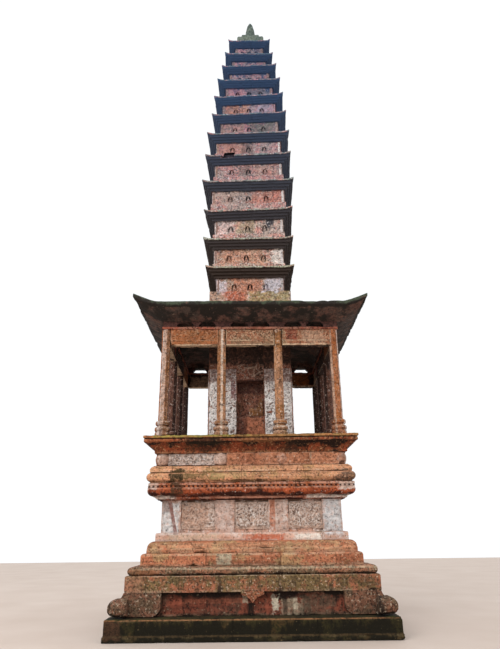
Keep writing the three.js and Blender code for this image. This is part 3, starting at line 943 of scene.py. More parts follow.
# %% Solids
def rowed(piece, name, stone, **sizes):
    """Copies of a solid in a row on all four sides, as one plain mesh."""
    run_tree(piece, ROW, {"Stone": stone, **input_names(sizes)})
    return plain_mesh(piece, name)


def weathered(piece, name, stone, voxel=0.0, **sizes):
    """Wears a solid, after an even remesh where its own faces are too large for it."""
    if voxel:
        even = piece.modifiers.new("even", "REMESH")
        even.mode = "VOXEL"
        even.voxel_size = voxel
        even.adaptivity = 0.0
    run_tree(piece, WORN_BLOCK, {"Stone": stone, **input_names(sizes)})
    return plain_mesh(piece, name)


def prism(name, outline, near, far):
    """A closed solid from an outline in x and z, between two depths in y."""
    mesh = bpy.data.meshes.new(name)
    count = len(outline)
    points = [(x, near, z) for x, z in outline] + [(x, far, z) for x, z in outline]
    walls = [(i, (i + 1) % count, (i + 1) % count + count, i + count) for i in range(count)]
    mesh.from_pydata(points, [], [tuple(reversed(range(count))), tuple(range(count, 2 * count)), *walls])
    form = bmesh.new()
    form.from_mesh(mesh)
    bmesh.ops.recalc_face_normals(form, faces=form.faces)
    form.to_mesh(mesh)
    form.free()
    return linked(name, mesh)


def combine(piece, other, operation):
    """Joins, cuts or crosses one solid with another, which is then removed."""
    cut = piece.modifiers.new(operation.lower(), "BOOLEAN")
    cut.operation = operation
    cut.solver = "EXACT"
    cut.material_mode = "TRANSFER"
    cut.object = other
    made = plain_mesh(piece, piece.name)
    bpy.data.objects.remove(other)
    return made


# %% [markdown]
# The scroll feet turn the corners of the base. From each side a foot shows the same outline:
# a rounded heel inside and a rolled end outside. So two long prisms of that outline are
# crossed, one along each side, and the solid that both share is the foot. Its two faces are
# then dressed flush with the band above, which leaves the roll standing at the corner. A
# curled groove marks the roll, cut with a bent tube before the stone is remeshed and worn.

# %% Scroll feet
FOOT_INNER = 1.69
SCROLL_INNER = 2.28
HEEL_RADIUS = 0.18
ROLL_RADIUS = 0.15
ROLL_HEIGHT = 0.535
CURL_TUBE = 0.017
CURL_START = 118
CURL_TURN = 300
CURL_STEPS = 22
FOOT_VOXEL = 0.02
CORNERS = ("front_right", "right_back", "back_left", "left_front")

mossy_foot = stone_material(
    "mossy_foot_stone", stone="#865b46", second="#6c5642", deep="#2e2119", pale="#b8a58e", moss="#5e5a38",
    deep_share=0.26, pale_share=0.1, moss_share=0.12, top_moss=0.1, flecks=0.28, pits=0.38,
)


def foot_outline():
    outer, low, high = extent("foot_course")
    shoulder = extent("fascia_course")[0]
    heel = arc(FOOT_INNER + HEEL_RADIUS, low + HEEL_RADIUS, HEEL_RADIUS, 180, 270)
    roll = arc(outer - ROLL_RADIUS, ROLL_HEIGHT, ROLL_RADIUS, -110, 110, 12)
    bends = [(point[0], point[2]) for point in heel + [corner(shoulder, low)] + roll]
    return [(FOOT_INNER, high + LAP), *bends, (shoulder, high + LAP)]


def curl(name, centre, outer_face):
    """A tube along a shrinking turn of the roll, lying in the foot's rolled face."""
    path = bpy.data.curves.new(name, "CURVE")
    path.dimensions = "3D"
    path.bevel_depth = CURL_TUBE
    path.bevel_resolution = 2
    path.use_fill_caps = True
    line = path.splines.new("POLY")
    line.points.add(CURL_STEPS)
    for i, point in enumerate(line.points):
        turned = math.radians(CURL_START + CURL_TURN * i / CURL_STEPS)
        radius = ROLL_RADIUS * (0.8 - 0.55 * i / CURL_STEPS)
        x, z = centre + radius * math.cos(turned), ROLL_HEIGHT + radius * math.sin(turned)
        bulge = math.sqrt(max(ROLL_RADIUS ** 2 - (z - ROLL_HEIGHT) ** 2, 0.0))
        point.co = (x, -(outer_face - ROLL_RADIUS + bulge), z, 1.0)
    return plain_mesh(linked(name, path), name)


def mirrored(piece):
    """Swaps the two sides of the front right corner."""
    piece.data.transform(Matrix(((0, -1, 0, 0), (-1, 0, 0, 0), (0, 0, 1, 0), (0, 0, 0, 1))))
    piece.data.flip_normals()
    return piece


def scroll_foot():
    outer = extent("foot_course")[0]
    foot = prism("foot", foot_outline(), -FOOT_INNER, -outer)
    along = prism("foot_along", foot_outline(), -FOOT_INNER, -outer)
    foot = combine(foot, mirrored(along), "INTERSECT")
    face, _, high = extent("fascia_course")
    dressed = [(0.0, 0.0), (SCROLL_INNER, 0.0), (SCROLL_INNER, high), (0.0, high)]
    foot = combine(foot, prism("front_face", dressed, -face, -outer - 0.1), "DIFFERENCE")
    foot = combine(foot, mirrored(prism("side_face", dressed, -face, -outer - 0.1)), "DIFFERENCE")
    foot = combine(foot, curl("front_curl", outer - ROLL_RADIUS, outer), "DIFFERENCE")
    return combine(foot, mirrored(curl("side_curl", outer - ROLL_RADIUS, outer)), "DIFFERENCE")


def scroll_feet():
    pattern = scroll_foot()
    for turn_count, place in enumerate(CORNERS):
        foot = pattern.copy()
        foot.data = pattern.data.copy()
        scene.collection.objects.link(foot)
        foot.data.transform(Matrix.Rotation(turn_count * math.pi / 2, 4, "Z"))
        made = weathered(foot, "scroll_foot_" + place, mossy_foot, voxel=FOOT_VOXEL, sway=0.03,
                         wear=0.014, seed=20.0 + turn_count)
        hand_over(made, "mossy_foot_stone")
    bpy.data.objects.remove(pattern)


scroll_feet()

# %% [markdown]
# Over the feet runs a flat band, and from its middle a cusped drop hangs in front of the
# recessed panel. The band is mottled brown, olive and orange, with two open joints. The
# round-nosed course on it collects the most lichen and has gone grey.

# %% Fascia and torus
PENDANT_HALF = 0.215
PENDANT_DROP = 0.184
FASCIA_JOINTS = (-1.98, -0.63, 1.25)

weathered_band = stone_material(
    "weathered_band_stone", stone="#a06247", second="#75603f", deep="#3d2e22", pale="#c9b095",
    moss="#6c6538", second_share=0.52, deep_share=0.2, pale_share=0.08, moss_share=0.12, flecks=0.26,
    pits=0.38,
    patches=[(-2.2, 0.92, 0.34, 0.3, "#a2775c", 0.7, 0.4), (1.9, 0.94, 0.9, 0.2, "#4a3a26", 0.55, 1.8),
             (-1.1, 0.98, 1.0, 0.1, "#4d4028", 0.5, 1.8)],
)
grey_olive = stone_material(
    "grey_olive_stone", stone="#99694f", second="#7c654d", deep="#3a2b21", pale="#bfae96", moss="#716a48",
    deep_share=0.2, pale_share=0.1, moss_share=0.06, top_moss=0.1, pits=0.4, flecks=0.26,
    patches=[(-2.05, 1.12, 0.5, 0.2, "#a8704a", 0.6, 1.4), (0.0, 1.175, 4.8, 0.045, "#b9a68a", 0.6, 1.4)],
)


def fascia():
    half, _, high = extent("fascia_course")
    low = extent("foot_course")[2]
    corners = closed([
        corner(half - 0.3, low),
        corner(half, low, stain=0.15),
        corner(half, high - 0.02),
        corner(half, high),
        corner(half - 0.2, high),
    ])
    stations = plan(half, FASCIA_JOINTS, seed=13)
    return course(
        "fascia_stone", corners, stations, weathered_band, sway=0.02, chips=0.035, wear=0.01, seed=6.0)


def pendant():
    half = extent("fascia_course")[0]
    low = extent("foot_course")[2]
    right = [(PENDANT_HALF, low + 0.02), (PENDANT_HALF, low - 0.2 * PENDANT_DROP),
             (0.72 * PENDANT_HALF, low - 0.34 * PENDANT_DROP),
             (0.45 * PENDANT_HALF, low - 0.45 * PENDANT_DROP),
             (0.2 * PENDANT_HALF, low - 0.7 * PENDANT_DROP)]
    left = [(-x, z) for x, z in reversed(right)]
    tip = (0.0, low - PENDANT_DROP)
    drop = prism("drop", [*right, tip, *left], 0.0, half - PANEL_FACE + 0.03)
    return rowed(drop, "fascia_drops", weathered_band, count=1, out=half, sway=0.0)


def torus():
    half, low, high = extent("torus_course")
    radius = (high - low) / 2
    corners = closed([
        corner(half - 0.3, low - LAP),
        corner(half - 0.06, low - LAP, stain=0.2),
        *arc(half - radius, low + radius, radius, -60, 80, 8, moss=0.1),
        corner(half - 0.35, high, moss=0.2),
    ])
    stations = plan(half, (-0.95, 0.42), seed=14)
    return course(
        "torus_stone", corners, stations, grey_olive, sway=0.025, chips=0.04, wear=0.012, seed=7.0)


hand_over(fascia(), "weathered_band_stone", "fascia_course")
hand_over(pendant(), "deep_red_stone")
hand_over(torus(), "grey_olive_stone", "torus_course")

# %% [markdown]
# Two set-back courses follow, cleaner and more orange. The lower has an upright face, and
# one block in it was patched with grey cement. The upper has a rounded shoulder, olive on
# top where water lies.

# %% Set-back courses
SHOULDER = 0.12

orange_step = stone_material(
    "orange_step_stone", stone="#b26f50", second="#ab855e", deep="#5e3e2a", pale="#d8bb9c",
    moss="#a08a60", second_share=0.45, pale_share=0.06, moss_share=0.03, top_moss=0.08, bedding=0.7,
    patches=[(-0.54, 1.32, 0.29, 0.2, "#b5a68c", 1.0, 0.25), (0.0, 1.56, 4.4, 0.22, "#c3a07c", 0.35, 1.6)],
)


def lower_step():
    half, low, high = extent("step_course_lower")
    corners = closed([
        corner(half - 0.3, low - LAP),
        corner(half, low - LAP, stain=0.2),
        corner(half, low + 0.05),
        *arc(half - 0.05, high - 0.05, 0.05, 0, 90, 3),
        corner(half - 0.3, high, moss=0.2),
    ])
    stations = plan(half, (-0.89, 0.55, 1.62), seed=15)
    return course("lower_step_stone", corners, stations, orange_step, sway=0.02, chips=0.03, seed=8.0)


def upper_step():
    half, low, high = extent("step_course_upper")
    corners = closed([
        corner(half - 0.3, low - LAP),
        corner(half, low - LAP, stain=0.15),
        corner(half, low + 0.05),
        corner(half, low + 0.09),
        corner(half - 0.008, low + 0.095, stain=0.2),
        *arc(half - SHOULDER - 0.008, high - SHOULDER, SHOULDER, 0, 85, 6),
        corner(half - 0.3, high, moss=0.2),
    ])
    stations = plan(half, (-1.3, 0.1, 1.2), cut=0.002, seed=16)
    return course("upper_step_stone", corners, stations, orange_step, sway=0.02, chips=0.03, seed=9.0)


hand_over(lower_step(), "orange_step_stone", "step_course_lower")
hand_over(upper_step(), "orange_step_stone", "step_course_upper")

# %% [markdown]
# Most of the carving can't be read at this size, so it is a generic pattern of cloud curls.
# One tree makes it all. It takes a fine grid, folds its two outer rings behind it to close
# the slab, sets the slab in a row on each side, and pushes the face in and out in rings round
# the centres of cells. Displacing a plain box would tear its edges open instead.

# %% Carved slabs
HEM = 2
CURLS = 1.7
FULL_RELIEF = 0.025
BORDER_EDGE = 0.02
SLAB_ARRIS = 0.004


def folded_slab(tree, given):
    """A slab made of a fine grid, whose outer two rings of points are folded behind it."""
    sizes = (given["Width"], given["Height"])
    cells = [arith(tree, "CEIL", over(tree, length, given["Grain"])) for length in sizes]
    counts = [plus(tree, count, 1.0 + 2 * HEM) for count in cells]
    slab = add(tree, "GeometryNodeMeshGrid", (1.0, 1.0, *counts)).outputs[0]
    flat = split(tree, position(tree))
    margins, spreads = [], []
    for axis in (0, 1):
        row = rank(tree, flat[axis], counts[axis])
        margins.append(least(tree, row, minus(tree, counts[axis], 1.0, row)))
        wires = (row, float(HEM), plus(tree, cells[axis], float(HEM)), -0.5, 0.5)
        part = add(tree, "ShaderNodeMapRange", wires).outputs[0]
        spreads.append(times(tree, part, sizes[axis]))
    outside = arith(tree, "GREATER_THAN", least(tree, *margins), 0.5)
    front = arith(tree, "GREATER_THAN", least(tree, *margins), 1.5)
    places = [times(tree, spread, outside) for spread in spreads]
    insides = [minus(tree, over(tree, length, 2.0), size_of(tree, place))
               for place, length in zip(places, sizes)]
    edge, border = least(tree, *insides), given["Border"]
    field = ramp(tree, edge, border, plus(tree, border, BORDER_EDGE))
    slab = keep(tree, slab, "field", times(tree, field, front))
    slab = keep(tree, slab, "arris", arith(tree, "LESS_THAN", edge, SLAB_ARRIS))
    back = times(tree, given["Thick"], minus(tree, 1.0, front))
    lifted = plus(tree, places[1], over(tree, given["Height"], 2.0))
    return placed(tree, slab, joined(tree, places[0], back, lifted), COURSE_MERGE)


def curled(tree, given):
    """How far the carving stands out at a point, in rings round the centres of bent cells."""
    place, seed = position(tree), given["Seed"]
    motif = over(tree, 1.0, given["Motif"])
    clouds = {"Vector": place, "W": seed, "Scale": times(tree, motif, 0.8), "Detail": 1.0}
    bend = add(tree, "ShaderNodeTexNoise", clouds, noise_dimensions="4D").outputs["Color"]
    bent = arrow(tree, "ADD", place, scaled(tree, bend, given["Motif"]))
    bent = arrow(tree, "ADD", bent, joined(tree, seed, seed, seed))
    cell = add(tree, "ShaderNodeTexVoronoi", {"Vector": bent, "Scale": motif}).outputs["Distance"]
    rings = arith(tree, "COSINE", times(tree, cell, 2 * math.pi * CURLS))
    boss = times(tree, minus(tree, 0.45, cell), 0.3)
    return times_plus(tree, rings, 0.4, boss)


def carved_slabs_tree():
    tree, given, result = geometry_tree("Carved slabs", [
        ("Width", "Float", 0.7),
        ("Height", "Float", 0.5),
        ("Thick", "Float", 0.08),
        ("Grain", "Float", 0.014),
        ("Border", "Float", 0.03),
        ("Relief", "Float", 0.02),
        ("Motif", "Float", 0.09),
        *ROW_SIZES,
        *WEAR_SIZES,
    ])
    made = four_rows(tree, folded_slab(tree, given), given)
    carving, relief = curled(tree, given), given["Relief"]
    depth = times(tree, carving, named(tree, "field"), relief)
    wires = {"Geometry": made, "Offset": scaled(tree, facing_out(tree), depth)}
    made = add(tree, "GeometryNodeSetPosition", wires).outputs[0]
    shown = most(tree, least(tree, over(tree, relief, -FULL_RELIEF), 1.0), -1.0)
    hollow = times(tree, carving, times(tree, shown, named(tree, "field")))
    made = keep(tree, made, "hollow", hollow)
    finish_stone(tree, made, given, result)
    return tree


CARVED_SLABS = carved_slabs_tree()
print("the slab tree has", len(CARVED_SLABS.nodes), "nodes")


def carved_slabs(name, stone, **sizes):
    """Rows of carved slabs on all four sides, as one plain mesh."""
    slab = point_list(name + "_slab", [(0.0, 0.0, 0.0)], ())
    run_tree(slab, CARVED_SLABS, {"Stone": stone, **input_names(sizes)})
    return plain_mesh(slab, name)


# %% [markdown]
# The dado was limewashed, and the lime has worn pink. It has a plain sill, a pilaster at each
# corner and two between, and three panels of dense low carving. The sill and the wall behind
# are one square course, and pilasters and panels are rows of carved slabs set against it.

# %% Dado
SILL_HIGH = 0.15
PANEL_BOTTOM = 1.86
PANEL_TOP = 2.385
PANEL_WIDE = 0.69
PANEL_PITCH = 1.085
PANEL_DEEP = 0.05
PILASTER = 0.395
DADO_WALL = 1.78
DADO_PANELS = 1.80
DADO_PILASTERS = 1.83

limewashed = stone_material(
    "limewashed_stone", stone="#c9a08c", second="#bd8a72", deep="#6b5344", pale="#dccfc6", moss="#a08f74",
    second_share=0.4, deep_share=0.05, pale_share=0.36, speckle=0.6, pits=0.26, under_dirt=0.15,
    patches=[(-1.64, 2.08, 0.34, 0.6, "#dcd7d4", 1.0, 0.5), (1.64, 2.1, 0.36, 0.7, "#d8d5d4", 1.0, 0.4),
             (-1.74, 2.33, 0.2, 0.24, "#9a837a", 0.8, 0.8),
             (-1.6, 2.1, 0.07, 0.62, "#8f5f54", 0.95, 0.5, -0.22),
             (-0.54, 2.14, 0.38, 0.66, "#d6bcb0", 0.65, 1.0), (0.6, 2.14, 0.24, 0.6, "#d3b9ac", 0.6, 1.0),
             (0.42, 2.14, 0.1, 0.6, "#c07a5c", 0.85, 0.6), (0.25, 1.71, 0.75, 0.1, "#b45a38", 0.85, 1.0),
             (-1.2, 1.7, 1.0, 0.14, "#bca58c", 0.6, 1.4), (1.1, 1.71, 0.5, 0.12, "#e0d8cc", 0.8, 1.2)],
)
white_carving = stone_material(
    "white_carving", stone="#cbaf9f", second="#c0a18e", deep="#5a463c", pale="#e4dbd3", moss="#a08f74",
    second_share=0.4, deep_share=0.04, pale_share=0.3, moss_share=0.0, pits=0.25, under_dirt=0.05,
    patches=[(-1.16, 2.12, 0.6, 0.5, "#c6a08a", 0.8, 0.9), (0.0, 1.885, 3.6, 0.07, "#c9a894", 0.8, 0.8)],
)
pitted_lime = stone_material(
    "pitted_lime", stone="#dfd2ca", second="#cbb8ae", deep="#3a2c28", pale="#f2eeea", moss="#8a5a50",
    second_share=0.4, deep_share=0.13, pale_share=0.4, moss_share=0.05, speckle=0.9, pits=0.34,
    under_dirt=0.05,
    patches=[(-0.40, 4.95, 0.12, 0.5, "#7b3434", 0.8, 0.9), (-0.64, 5.32, 0.8, 0.4, "#7d5548", 0.8, 1.0),
             (0.64, 5.32, 0.8, 0.4, "#7d5548", 0.8, 1.0), (-1.24, 3.23, 1.3, 0.3, "#c9a792", 0.55, 1.6)],
    bump=0.8,
)


def dado():
    half, low, high = extent("dado_course")
    corners = closed([
        corner(half - 0.3, low - LAP),
        corner(half, low - LAP, stain=0.1),
        corner(half, low + SILL_HIGH, moss=0.1),
        corner(DADO_WALL, low + SILL_HIGH + 0.01, stain=0.15),
        corner(DADO_WALL, high - 0.08, stain=0.1),
        corner(DADO_WALL, high, stain=0.5),
        corner(DADO_WALL - 0.2, high),
    ])
    stations = plan(half, (-1.5, 0.2, 1.4), seed=17)
    return course("dado_stone", corners, stations, limewashed, sway=0.01, seed=10.0)


def dado_pilasters():
    _, foot, high = extent("dado_course")
    low = foot + SILL_HIGH
    sizes = {"width": PILASTER, "height": high - low, "thick": PANEL_DEEP + 0.03, "level": low,
             "out": DADO_PILASTERS, "sway": 0.01}
    inner = carved_slabs(
        "dado_pilasters", limewashed, relief=0.014, motif=0.12, border=0.05, count=2,
        first=-PANEL_PITCH / 2, pitch=PANEL_PITCH, seed=31.0, **sizes)
    place = DADO_PILASTERS - PILASTER / 2
    ends = carved_slabs(
        "dado_corner_pilasters", limewashed, relief=0.006, motif=0.2, border=0.04, count=2, first=-place,
        pitch=2 * place, seed=32.0, grain=0.03, **sizes)
    return inner, ends


def dado_panels():
    return carved_slabs(
        "dado_carved_panels", white_carving, width=PANEL_WIDE, height=PANEL_TOP - PANEL_BOTTOM,
        thick=PANEL_DEEP, level=PANEL_BOTTOM, out=DADO_PANELS, count=3, first=-PANEL_PITCH,
        pitch=PANEL_PITCH, relief=0.032, motif=0.062, border=0.02, sway=0.01, seed=33.0)


hand_over(dado(), "limewashed_stone", "dado_course")
for piece in dado_pilasters():
    hand_over(piece, "limewashed_stone")
hand_over(dado_panels(), "limewashed_stone")

# %% [markdown]
# Over the dado the base swells out again. A white-edged necking carries a lotus course:
# shallow petals on its curve, over them a dark groove filled with a row of small square
# dashes, and a thin bead on top. The petals come from the course tree itself, which can swell
# its face in waves along a side, and the row tree repeats the dashes.

# %% Lotus course
LOTUS_HALF = 2.10
NECK_HALF = 1.92
NECK_HIGH = 0.07
BOWL_RADIUS = 0.115
BAND_LOW = 2.615
DASH_LEVEL = 2.682
BEAD_HIGH = 2.752
PETAL_WIDTH = 0.21
PETAL_DEEP = 0.035
DASH_PITCH = 0.09
DASH_SIZE = (0.048, 0.036)
DASH_DEEP = 0.02

deep_red = stone_material(
    "deep_red_stone", stone="#a55231", second="#863f25", deep="#38180f", pale="#d8bfae", moss="#6d5a30",
    second_share=0.42, deep_share=0.08, bedding=0.6,
    patches=[(1.98, 2.67, 0.44, 0.16, "#dccabd", 0.9, 1.6), (-2.02, 2.68, 0.24, 0.14, "#dccabd", 0.8, 1.6),
             (1.55, 2.475, 0.8, 0.06, "#e0d2c6", 0.9, 1.0), (-1.75, 2.475, 0.45, 0.06, "#e0d2c6", 0.9, 1.0),
             (-0.1, 2.475, 1.6, 0.05, "#c98f76", 0.8, 1.0), (0.0, 2.70, 4.3, 0.16, "#ad6f48", 0.35, 1.2),
             (-1.52, 2.64, 0.24, 0.3, "#402e1c", 0.9, 1.2)],
)


def lotus():
    _, low, high = extent("lotus_course")
    neck_top = low + NECK_HIGH
    bowl = arc(LOTUS_HALF - BOWL_RADIUS, BAND_LOW, BOWL_RADIUS, -75, 0, 6)
    corners = closed([
        corner(NECK_HALF - 0.2, low - LAP),
        corner(NECK_HALF - 0.01, low - LAP, stain=0.5),
        corner(NECK_HALF - 0.01, low + 0.012, stain=0.5),
        corner(NECK_HALF + 0.03, low + 0.02),
        corner(NECK_HALF + 0.03, neck_top - 0.012),
        corner(NECK_HALF + 0.01, neck_top, stain=0.5),
        *[corner(point[0], point[2], stain=0.2, petal=1.0) for point in bowl],
        corner(LOTUS_HALF, DASH_LEVEL - 0.022),
        corner(LOTUS_HALF - DASH_DEEP, DASH_LEVEL - 0.018, stain=0.85),
        corner(LOTUS_HALF - DASH_DEEP, DASH_LEVEL + 0.018, stain=0.85),
        corner(LOTUS_HALF - 0.002, DASH_LEVEL + 0.022),
        corner(LOTUS_HALF - 0.006, BEAD_HIGH),
        corner(LOTUS_HALF - 0.05, BEAD_HIGH + 0.006, stain=0.9),
        corner(LOTUS_HALF - 0.05, high, stain=0.9),
        corner(LOTUS_HALF - 0.3, high),
    ])
    stations = plan(LOTUS_HALF, (-0.75, 0.9), seed=18, pitch=0.035)
    return course(
        "lotus_stone", corners, stations, deep_red, rounding=0.008, sway=0.015, seed=11.0,
        petal_width=PETAL_WIDTH, petal_depth=PETAL_DEEP)


def lotus_dashes():
    wide, tall = DASH_SIZE[0] / 2, DASH_SIZE[1] / 2
    dash = prism("dash", [(-wide, -tall), (wide, -tall), (wide, tall), (-wide, tall)],
                 0.002 - DASH_DEEP, 0.03)
    count = int(2 * LOTUS_HALF / DASH_PITCH)
    return rowed(
        dash, "lotus_dashes", deep_red, count=count, first=-(count - 1) * DASH_PITCH / 2,
        pitch=DASH_PITCH, out=LOTUS_HALF - DASH_DEEP, level=DASH_LEVEL, sway=0.015, wear=0.003, seed=11.0)


hand_over(lotus(), "deep_red_stone", "lotus_course")
hand_over(lotus_dashes(), "deep_red_stone")

# %% [markdown]
# The bulging course over it is the smoothest stone of the base: two rounded bands, tan and
# orange, with long bedding lines, and one dark mossy run at the left.

# %% Roll course
LOWER_BULGE = 0.095
UPPER_BULGE = 0.11

warm_bedded = stone_material(
    "warm_bedded_stone", stone="#c8906c", second="#b58a60", deep="#5c3f2b", pale="#dfc7ae",
    moss="#7a6d42", second_share=0.42, deep_share=0.05, pale_share=0.08, top_moss=0.05, bedding=1.1,
    speckle=0.7,
    patches=[(-1.15, 2.9, 0.9, 0.16, "#6a5a34", 0.75, 2.4), (-1.54, 2.87, 0.26, 0.24, "#3a2f1a", 0.95, 2.0),
             (-0.5, 2.9, 0.7, 0.12, "#93835a", 0.5, 2.2), (1.95, 2.87, 0.44, 0.24, "#4e4038", 0.8, 2.0)],
)


def roll():
    half, low, high = extent("roll_course")
    corners = closed([
        corner(half - 0.3, low - LAP),
        corner(half - 0.06, low - LAP, stain=0.3),
        *arc(half - LOWER_BULGE, low + LOWER_BULGE, LOWER_BULGE, -75, 45),
        corner(half - 0.05, low + 0.178, stain=0.1),
        corner(half - 0.066, low + 0.184, stain=0.5),
        corner(half - 0.066, low + 0.192, stain=0.5),
        corner(half - 0.055, low + 0.2),
        *arc(half - 0.16, high - UPPER_BULGE, UPPER_BULGE, 15, 80, 5),
        corner(half - 0.12, high, moss=0.1),
        corner(half - 0.4, high),
    ])
    stations = plan(half, (-1.65, -0.2, 1.1), seed=19)
    return course(
        "roll_stone", corners, stations, warm_bedded, rounding=0.012, sway=0.03, wear=0.01,
        seed=12.0)


hand_over(roll(), "warm_bedded_stone", "roll_course")

# %% [markdown]
# The frieze is a low wall with a round drum under each gallery column. Between the left
# drums a limewashed carved slab is left, and plain slabs have replaced the others.

# %% Frieze
DRUM_BELLY = 0.14
DRUM_SWELL = 1.14
DRUM_END = 0.105
DRUM_INNER = 0.632
DRUM_FORWARD = 0.03
FRIEZE_FACE = 1.98
FRIEZE_WALL = 1.86
PLAIN_SLAB = 0.577
PLAIN_START = -0.505

plain_slab = stone_material(
    "plain_slab_stone", stone="#c08262", second="#ad7050", deep="#5f3c2a", pale="#d6b89e", moss="#7d6a44",
    second_share=0.45, bedding=0.5,
    patches=[(-0.05, 3.24, 0.4, 0.24, "#8d4d33", 0.5, 1.4)],
)


def lathed(name, rings, around=24):
    """A closed round solid from a list of radii and heights."""
    form = bmesh.new()
    circles = []
    for radius, height in rings:
        angles = [2 * math.pi * i / around for i in range(around)]
        circles.append([form.verts.new((radius * math.cos(a), radius * math.sin(a), height)) for a in angles])
    for below, above in zip(circles, circles[1:]):
        for i in range(around):
            j = (i + 1) % around
            form.faces.new((below[i], below[j], above[j], above[i]))
    form.faces.new(reversed(circles[0]))
    form.faces.new(circles[-1])
    mesh = bpy.data.meshes.new(name)
    form.to_mesh(mesh)
    form.free()
    return linked(name, mesh)


def frieze():
    _, low, high = extent("frieze_course")
    corners = closed([
        corner(FRIEZE_WALL - 0.3, low - LAP),
        corner(FRIEZE_WALL, low - LAP, stain=0.3),
        corner(FRIEZE_WALL, low + 0.02),
        corner(FRIEZE_WALL, high, stain=0.4),
        corner(FRIEZE_WALL - 0.3, high),
    ])
    stations = plan(FRIEZE_WALL, seed=21)
    return course("frieze_stone", corners, stations, plain_slab, sway=0.01, seed=13.0)


drum_stone = stone_material(
    "drum_stone", stone="#cdae9d", second="#c09a86", deep="#54392d", pale="#e2d6cc", moss="#8d7d60",
    second_share=0.4, deep_share=0.05, pale_share=0.3, pits=0.25, flecks=0.1,
    patches=[(1.2, 3.23, 2.0, 0.6, "#b67c5e", 0.9, 0.3), (1.92, 3.12, 0.2, 0.1, "#4a3226", 0.8, 0.8)],
)


def drums():
    _, low, high = extent("frieze_course")
    tall = high - low
    belly = DRUM_BELLY * DRUM_SWELL
    rings = [(DRUM_END + (belly - DRUM_END) * math.sin(math.pi * i / 10) ** 0.7, tall * i / 10)
             for i in range(11)]
    spread = FRIEZE_FACE - DRUM_BELLY
    corner_drums = rowed(
        lathed("drum", rings), "frieze_corner_drums", drum_stone, count=1, first=spread, out=spread,
        level=low, sway=0.0, wear=0.008)
    inner_drums = rowed(
        lathed("drum", rings), "frieze_drums", drum_stone, count=2, first=-DRUM_INNER,
        pitch=2 * DRUM_INNER, out=spread + DRUM_FORWARD, level=low, sway=0.0, wear=0.008)
    return corner_drums, inner_drums


def frieze_slabs():
    _, low, high = extent("frieze_course")
    bay = (FRIEZE_FACE - DRUM_BELLY + DRUM_INNER) / 2
    wide = FRIEZE_FACE - DRUM_BELLY - DRUM_INNER - 2 * DRUM_END - 0.03
    carved = carved_slabs(
        "frieze_carved_slab", pitted_lime, width=wide, height=high - low - 0.03, thick=0.11,
        level=low + 0.015, out=FRIEZE_FACE - 0.05, count=1, first=-bay, relief=0.045, motif=0.075,
        seed=34.0)
    plain = carved_slabs(
        "frieze_plain_slabs", plain_slab, width=PLAIN_SLAB, height=high - low - 0.01, thick=0.13,
        level=low + 0.003, out=FRIEZE_FACE + 0.004, count=4, first=PLAIN_START + PLAIN_SLAB / 2,
        pitch=PLAIN_SLAB + 0.005, relief=0.0, grain=0.03, wear=0.008, seed=35.0)
    return carved, plain


hand_over(frieze(), "warm_bedded_stone", "frieze_course")
for piece in (*drums(), *frieze_slabs()):
    hand_over(piece, "warm_bedded_stone")

# %% [markdown]
# The cornice flares out to carry the gallery floor. It is stained black and green under its
# edge, and a row of small carved teeth shows where the edge has not weathered away.

# %% Cornice
CORNICE_EDGE = 0.135
LIP_HIGH = 0.052
COVE_STEPS = 6
TOOTH_PITCH = 0.09

stained_cornice = stone_material(
    "stained_cornice_stone", stone="#8a4429", second="#6c3b22", deep="#25150d", pale="#bc9068",
    moss="#66602c", deep_share=0.1, moss_share=0.06, top_moss=0.1, under_dirt=0.12, flecks=0.26,
    patches=[(0.3, 3.62, 0.9, 0.14, "#b0794f", 0.6, 1.4), (-0.95, 3.52, 0.7, 0.26, "#1f1a0e", 0.75, 1.4),
             (0.85, 3.46, 0.3, 0.2, "#2a2016", 0.7, 1.2), (-1.9, 3.62, 0.5, 0.14, "#b0653f", 0.6, 1.2),
             (0.0, 3.67, 4.8, 0.06, "#a8804c", 0.6, 1.2), (-1.1, 3.68, 1.6, 0.06, "#8f8a42", 0.7, 1.6)],
)


def cornice():
    half, low, high = extent("cornice_floor")
    foot = low + 0.04
    cove_top = high - CORNICE_EDGE
    # The cove darkens towards its top, under the edge: stain and painted shade.
    cove = [corner(2.0 + (half - 2.05) * (i / COVE_STEPS) ** 1.6,
                   foot + (cove_top - foot) * i / COVE_STEPS, stain=0.45 * (i / COVE_STEPS) ** 2)
            for i in range(COVE_STEPS + 1)]
    corners = closed([
        corner(1.7, low - LAP),
        corner(2.0, low - LAP, stain=0.2),
        *cove,
        corner(half - 0.012, cove_top + 0.008, stain=0.1),
        corner(half - 0.012, high - LIP_HIGH - 0.022, stain=0.1),
        corner(half - 0.035, high - LIP_HIGH - 0.016, stain=0.9),
        corner(half - 0.035, high - LIP_HIGH - 0.004, stain=0.9),
        corner(half, high - LIP_HIGH),
        corner(half, high, moss=0.45),
        corner(half - 0.3, high, moss=0.1),
        corner(0.9, high, moss=0.1),
    ])
    stations = plan(half, (-1.1, 0.35, 1.3), seed=22)
    return course(
        "cornice_stone", corners, stations, stained_cornice, rounding=0.01, step=0.05, sway=0.03,
        chips=0.05, wear=0.01, seed=14.0)


def cornice_teeth():
    half, _, high = extent("cornice_floor")
    outline = [(-0.024, 0.0), (0.024, 0.0), (0.028, 0.042), (-0.028, 0.042)]
    count = int(2 * (half - 0.05) / TOOTH_PITCH)
    tooth = prism("tooth", outline, -0.012, 0.05)
    return rowed(
        tooth, "cornice_teeth", stained_cornice, count=count, first=-(count - 1) * TOOTH_PITCH / 2,
        pitch=TOOTH_PITCH, out=half - 0.012, level=high - 0.122, sway=0.03, seed=14.0)


hand_over(cornice(), "stained_cornice_stone", "cornice_floor")
hand_over(cornice_teeth(), "stained_cornice_stone")

